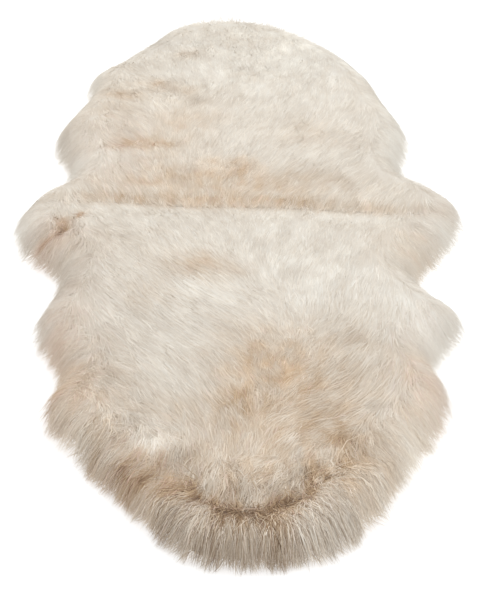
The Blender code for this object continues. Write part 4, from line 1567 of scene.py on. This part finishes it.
@dataclass
class SeamStitching:
    """Whip stitches of waxed thread that join the two hides, seen from underneath.

    Attributes:
        pitch: Spacing of the stitches.
        end_gap: Distance from the first and last stitch to the hide's edge.
        bite: How far a stitch reaches into each hide.
        slant: How far it slants along the seam on the way.
        height: Height of its middle.
        turn_up: How far its ends rise into the leather.
        sides: Sides of the thread's round.
        steps: Points along a stitch.
    """

    fleece: Fleece
    pitch: float = 0.0065
    end_gap: float = 0.008
    bite: float = 0.0050
    slant: float = 0.0022
    radius: float = 0.00035
    height: float = 0.0009
    turn_up: float = 0.0011
    sides: int = 6
    steps: int = 9

    def build(self) -> bpy.types.Object:
        """One short tube for each stitch: its middle lies flat under the hide, and its
        ends turn up into the leather as the fourth power of the way from its middle."""
        left, right = self.fleece.outline.sides(HIDE_INSET)
        low, high = (np.interp(SEAM_Y, side[:, 1], side[:, 0]) for side in (left, right))
        count = int((high - low - 2 * self.end_gap) / self.pitch)
        middle = np.linspace(low + self.end_gap, high - self.end_gap, count)[:, None]
        t = np.linspace(-1, 1, self.steps)[None]
        along, across = middle + self.slant * t, self.bite * t
        path = np.stack([
            along * math.cos(SEAM_TILT) - across * math.sin(SEAM_TILT),
            SEAM_Y + along * math.sin(SEAM_TILT) + across * math.cos(SEAM_TILT),
            np.broadcast_to(self.height + self.turn_up * np.abs(t) ** 4, along.shape),
        ], axis=-1)
        tangent = unit(np.gradient(path, axis=1))
        level = unit(np.cross(tangent, [0.0, 0.0, 1.0]))
        rise = np.cross(level, tangent)
        angle = np.linspace(0, 2 * math.pi, self.sides, endpoint=False)
        circle = np.cos(angle)[:, None] * level[:, :, None]
        circle = circle + np.sin(angle)[:, None] * rise[:, :, None]
        tube = path[:, :, None] + self.radius * circle
        number = np.arange(tube[..., 0].size).reshape(tube.shape[:3])
        ahead = np.roll(number, -1, axis=2)
        walls = np.stack([number[:, :-1], ahead[:, :-1], ahead[:, 1:], number[:, 1:]], axis=-1)
        caps = [number[:, 0], number[:, -1, ::-1]]
        faces = [walls.reshape(-1, 4)[:, ::-1], np.concatenate(caps)]
        return make_piece("seam_stitching", tube.reshape(-1, 3), faces)


# ------------------------------------------------------------------ finishes
@dataclass(frozen=True)
class RampStop:
    """One colour on a ramp, and its place from 0 to 1."""

    place: float
    colour: Colour


def new_material(name: str, roughness: float) -> tuple[bpy.types.Material, bpy.types.Node]:
    """An empty matt material and its shader node."""
    material = bpy.data.materials.new(name)
    material.use_nodes = True
    shader = material.node_tree.nodes["Principled BSDF"]
    shader.inputs["Roughness"].default_value = roughness
    shader.inputs["Metallic"].default_value = 0.0
    return material, shader


def add_ramp(tree: bpy.types.NodeTree, stops: tuple[RampStop, ...]) -> bpy.types.Node:
    """A colour ramp node with the given stops."""
    node = tree.nodes.new("ShaderNodeValToRGB")
    elements = node.color_ramp.elements
    while len(elements) < len(stops):
        elements.new(0.5)
    for element, stop in zip(elements, stops):
        element.position = stop.place
        element.color = (*stop.colour, 1.0)
    return node


@dataclass(frozen=True)
class WoolFinish:
    """Natural wool: lightness runs up the wool map, and tan, grey and peach across.

    Attributes:
        grey: The ramp up the middle of the map.
        tan: The ramp up its left edge.
        peach: The ramp up its right edge.
    """

    name: str = "cream wool"
    grey: tuple[RampStop, ...] = (
        RampStop(0.0, (0.12, 0.095, 0.072)),
        RampStop(0.2, (0.27, 0.235, 0.195)),
        RampStop(0.4, (0.45, 0.415, 0.365)),
        RampStop(0.6, (0.615, 0.591, 0.54)),
        RampStop(0.8, (0.77, 0.751, 0.70)),
        RampStop(1.0, (0.93, 0.93, 0.885)),
    )
    tan: tuple[RampStop, ...] = (
        RampStop(0.0, (0.100, 0.050, 0.018)),
        RampStop(0.2, (0.255, 0.152, 0.072)),
        RampStop(0.4, (0.45, 0.322, 0.195)),
        RampStop(0.6, (0.62, 0.475, 0.325)),
        RampStop(0.8, (0.78, 0.63, 0.45)),
        RampStop(1.0, (0.95, 0.84, 0.68)),
    )
    peach: tuple[RampStop, ...] = (
        RampStop(0.0, (0.095, 0.050, 0.032)),
        RampStop(0.2, (0.25, 0.155, 0.100)),
        RampStop(0.4, (0.45, 0.30, 0.21)),
        RampStop(0.6, (0.64, 0.45, 0.34)),
        RampStop(0.8, (0.80, 0.61, 0.48)),
        RampStop(1.0, (0.96, 0.82, 0.72)),
    )
    roughness: float = 0.75
    sheen: float = 0.25
    sheen_roughness: float = 0.5
    sheen_tint: Colour = (1.0, 0.97, 0.92)
    specular: float = 0.25

    def build(self) -> bpy.types.Material:
        """The wool's material: three ramps read up the map, mixed by the place across.

        The share of peach runs from 0 at the map's middle to 1 at its right edge, and
        the share of tan from 0 at the middle to 1 at its left edge.
        """
        material, shader = new_material(self.name, self.roughness)
        tree = material.node_tree
        shader.inputs["Sheen Weight"].default_value = self.sheen
        shader.inputs["Sheen Roughness"].default_value = self.sheen_roughness
        shader.inputs["Sheen Tint"].default_value = (*self.sheen_tint, 1.0)
        shader.inputs["Specular IOR Level"].default_value = self.specular
        spot = tree.nodes.new("ShaderNodeUVMap")
        spot.uv_map = WOOL_MAP
        split = tree.nodes.new("ShaderNodeSeparateXYZ")
        tree.links.new(spot.outputs["UV"], split.inputs["Vector"])
        colour = add_ramp(tree, self.grey)
        tree.links.new(split.outputs["Y"], colour.inputs["Fac"])
        colour = colour.outputs["Color"]
        for stops, end in ((self.tan, 0.0), (self.peach, 1.0)):
            ramp = add_ramp(tree, stops)
            tree.links.new(split.outputs["Y"], ramp.inputs["Fac"])
            share = tree.nodes.new("ShaderNodeMapRange")
            share.inputs["From Min"].default_value = 0.5
            share.inputs["From Max"].default_value = end
            tree.links.new(split.outputs["X"], share.inputs["Value"])
            mix = tree.nodes.new("ShaderNodeMix")
            mix.data_type = "RGBA"
            tree.links.new(share.outputs["Result"], mix.inputs["Factor"])
            tree.links.new(colour, mix.inputs["A"])
            tree.links.new(ramp.outputs["Color"], mix.inputs["B"])
            colour = mix.outputs["Result"]
        tree.links.new(colour, shader.inputs["Base Color"])
        return material


@dataclass(frozen=True)
class MottledFinish:
    """A matt surface whose colour wanders between two tones, with a fine nap.

    Attributes:
        mottle: Noise scale of the colour, in waves for each metre.
        nap: Noise scale of the bump.
        nap_height: Height of the bump.
        contrast: Noise at which the colour is the dark tone, and the light one.
        mottle_detail: Finer layers of the colour's noise.
        nap_detail: Finer layers of the bump's.
    """

    name: str
    dark: Colour
    light: Colour
    mottle: float
    nap: float
    nap_height: float
    roughness: float = 0.9
    contrast: Pair = (0.32, 0.68)
    mottle_detail: float = 6.0
    nap_detail: float = 3.0

    def build(self) -> bpy.types.Material:
        """The material: noise on Object coordinates sets its colour and its nap."""
        material, shader = new_material(self.name, self.roughness)
        tree = material.node_tree
        where = tree.nodes.new("ShaderNodeTexCoord")
        wander = tree.nodes.new("ShaderNodeTexNoise")
        wander.inputs["Scale"].default_value = self.mottle
        wander.inputs["Detail"].default_value = self.mottle_detail
        stops = zip(self.contrast, (self.dark, self.light))
        ramp = add_ramp(tree, tuple(RampStop(place, colour) for place, colour in stops))
        fine = tree.nodes.new("ShaderNodeTexNoise")
        fine.inputs["Scale"].default_value = self.nap
        fine.inputs["Detail"].default_value = self.nap_detail
        bump = tree.nodes.new("ShaderNodeBump")
        bump.inputs["Distance"].default_value = self.nap_height
        for node in (wander, fine):
            tree.links.new(where.outputs["Object"], node.inputs["Vector"])
        tree.links.new(wander.outputs["Fac"], ramp.inputs["Fac"])
        tree.links.new(ramp.outputs["Color"], shader.inputs["Base Color"])
        tree.links.new(fine.outputs["Fac"], bump.inputs["Height"])
        tree.links.new(bump.outputs["Normal"], shader.inputs["Normal"])
        return material


SUEDE = MottledFinish(
    "suede hide", dark=(0.46, 0.37, 0.26), light=(0.62, 0.53, 0.41),
    mottle=14, nap=700, nap_height=0.0004,
)
THREAD = MottledFinish(
    "waxed thread", dark=(0.55, 0.48, 0.38), light=(0.66, 0.60, 0.50),
    mottle=300, nap=2500, nap_height=0.0002,
)
FLOOR = MottledFinish(
    "pale floor", dark=(0.93, 0.93, 0.93), light=(0.95, 0.95, 0.95),
    mottle=2, nap=60, nap_height=0.0,
)


# ------------------------------------------------------------------ the rug
@dataclass
class SheepskinRug:
    """The whole rug: the wool, the underwool, the two hides and their seam."""

    fleece: Fleece = field(default_factory=Fleece)

    def wool(self, finish: bpy.types.Material) -> dict[Pelt, list[bpy.types.Object]]:
        """Every piece of long wool, by the pelt that it grows on."""
        wool = Wool(self.fleece)
        found: dict[Pelt, list[bpy.types.Object]] = {pelt: [] for pelt in Pelt}
        plans = (
            (TOP, {
                "far_top_hair_left": Share(Pelt.FAR, high_x=-0.005),
                "far_top_hair_right": Share(Pelt.FAR, low_x=-0.005),
                "near_top_hair_left": Share(Pelt.NEAR, high_x=0.0),
                "near_top_hair_right": Share(Pelt.NEAR, low_x=0.0),
            }),
            (CURLS, {"far_curls": Share(Pelt.FAR), "near_curls": Share(Pelt.NEAR)}),
            (RIM, {"far_rim_wool": Share(Pelt.FAR), "near_rim_wool": Share(Pelt.NEAR)}),
            (SKIRT, {"near_skirt_wool": Share(Pelt.NEAR)}),
            (STRAY, {"far_stray_hairs": Share(Pelt.FAR), "near_stray_hairs": Share(Pelt.NEAR)}),
        )
        for stand, shares in plans:
            for piece, share in zip(wool.pieces(stand, shares), shares.values()):
                piece.data.materials.append(finish)
                found[share.pelt].append(piece)
        return found

    def build(self) -> None:
        """Make every piece, hide the parts that it replaces, and report it."""
        cream, suede = WoolFinish().build(), SUEDE.build()
        wool = self.wool(cream)
        stitching = SeamStitching(self.fleece).build()
        stitching.data.materials.append(THREAD.build())
        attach(stitching, "root")
        report(stitching)
        for pelt in Pelt:
            node = f"pelt_{pelt.name.lower()}"
            under = Underwool(self.fleece, pelt).build()
            under.data.materials.append(cream)
            for piece in (*wool[pelt], under):
                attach(piece, "root")
                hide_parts(node)
                report(piece)
            maker = Hide(self.fleece, pelt)
            hide = maker.build()
            hide.data.materials.append(suede)
            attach(hide, "root")
            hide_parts(node)
            maker.area(hide)
            report(hide)


def report(piece: bpy.types.Object) -> None:
    """Log a finished piece and its number of triangles."""
    LOG.info("%s: %d triangles", piece.name, triangles_in(piece))


# ------------------------------------------------------------------ the studio
@dataclass(frozen=True)
class Lamp:
    """A square soft light: its name, place, size, power and colour, aimed at a point."""

    name: str
    place: tuple[float, float, float]
    aim: tuple[float, float, float]
    size: float
    power: float
    colour: Colour = (1.0, 1.0, 1.0)

    def build(self) -> None:
        """Add the light, turned so that it shines from its place to its aim."""
        data = bpy.data.lights.new(self.name, "AREA")
        data.shape = "SQUARE"
        data.size = self.size
        data.energy = self.power
        data.color = self.colour
        lamp = bpy.data.objects.new(self.name, data)
        lamp.location = self.place
        way = np.array(self.aim) - np.array(self.place)
        tilt = math.acos(-way[2] / np.linalg.norm(way))
        lamp.rotation_euler = (tilt, 0.0, math.atan2(way[1], way[0]) - math.pi / 2)
        lamp.visible_camera = False
        bpy.context.scene.collection.objects.link(lamp)


@dataclass(frozen=True)
class Studio:
    """A plain pale floor, soft lights from above, and the camera past the near end.

    Attributes:
        camera_pitch: The camera's angle up from straight down, in degrees.
        lens: Its focal length, in millimetres.
        sky: Strength of the white surround.
        floor_half: Half the length of the floor's side.
    """

    camera_place: tuple[float, float, float] = (0.0, -2.5979, 1.2047)
    camera_pitch: float = 63.0
    lens: float = 108.34
    sky: float = 0.68
    floor_half: float = 40.0
    lamps: tuple[Lamp, ...] = (
        Lamp("soft overhead light", (-0.1, 1.0, 3.0), aim=(0.0, 0.0, 0.0), size=2.4, power=78),
        Lamp("soft fill light", (1.6, -2.2, 2.2), aim=(0.0, -0.2, 0.0), size=2.0, power=14),
    )

    def build(self) -> None:
        """Set up the floor, lights, sky, camera and colour."""
        for lamp in self.lamps:
            lamp.build()
        self._floor()
        self._sky()
        self._camera()
        scene = bpy.context.scene
        scene.view_settings.view_transform = "Standard"
        scene.view_settings.look = "None"

    def _floor(self) -> None:
        """One large level square."""
        h = self.floor_half
        corners = np.array([(-h, -h, 0), (h, -h, 0), (h, h, 0), (-h, h, 0)], float)
        floor = make_piece("floor", corners, [np.array([[0, 1, 2, 3]])], smooth=False)
        floor.data.materials.append(FLOOR.build())

    def _sky(self) -> None:
        """An even white surround."""
        world = bpy.data.worlds.new("white studio")
        world.use_nodes = True
        back = world.node_tree.nodes["Background"]
        back.inputs["Color"].default_value = (1.0, 1.0, 1.0, 1.0)
        back.inputs["Strength"].default_value = self.sky
        bpy.context.scene.world = world

    def _camera(self) -> None:
        """A long lens past the near end, looking along the rug and down."""
        data = bpy.data.cameras.new("camera")
        data.lens = self.lens
        data.clip_end = 200.0
        camera = bpy.data.objects.new("camera", data)
        camera.location = self.camera_place
        camera.rotation_euler = (math.radians(self.camera_pitch), 0.0, 0.0)
        bpy.context.scene.collection.objects.link(camera)
        bpy.context.scene.camera = camera


def main() -> None:
    """Load the frame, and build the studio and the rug."""
    logging.basicConfig(level=logging.INFO, format="%(name)s: %(message)s")
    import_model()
    Studio().build()
    SheepskinRug().build()
    bpy.context.view_layer.update()


if __name__ == "__main__":
    main()
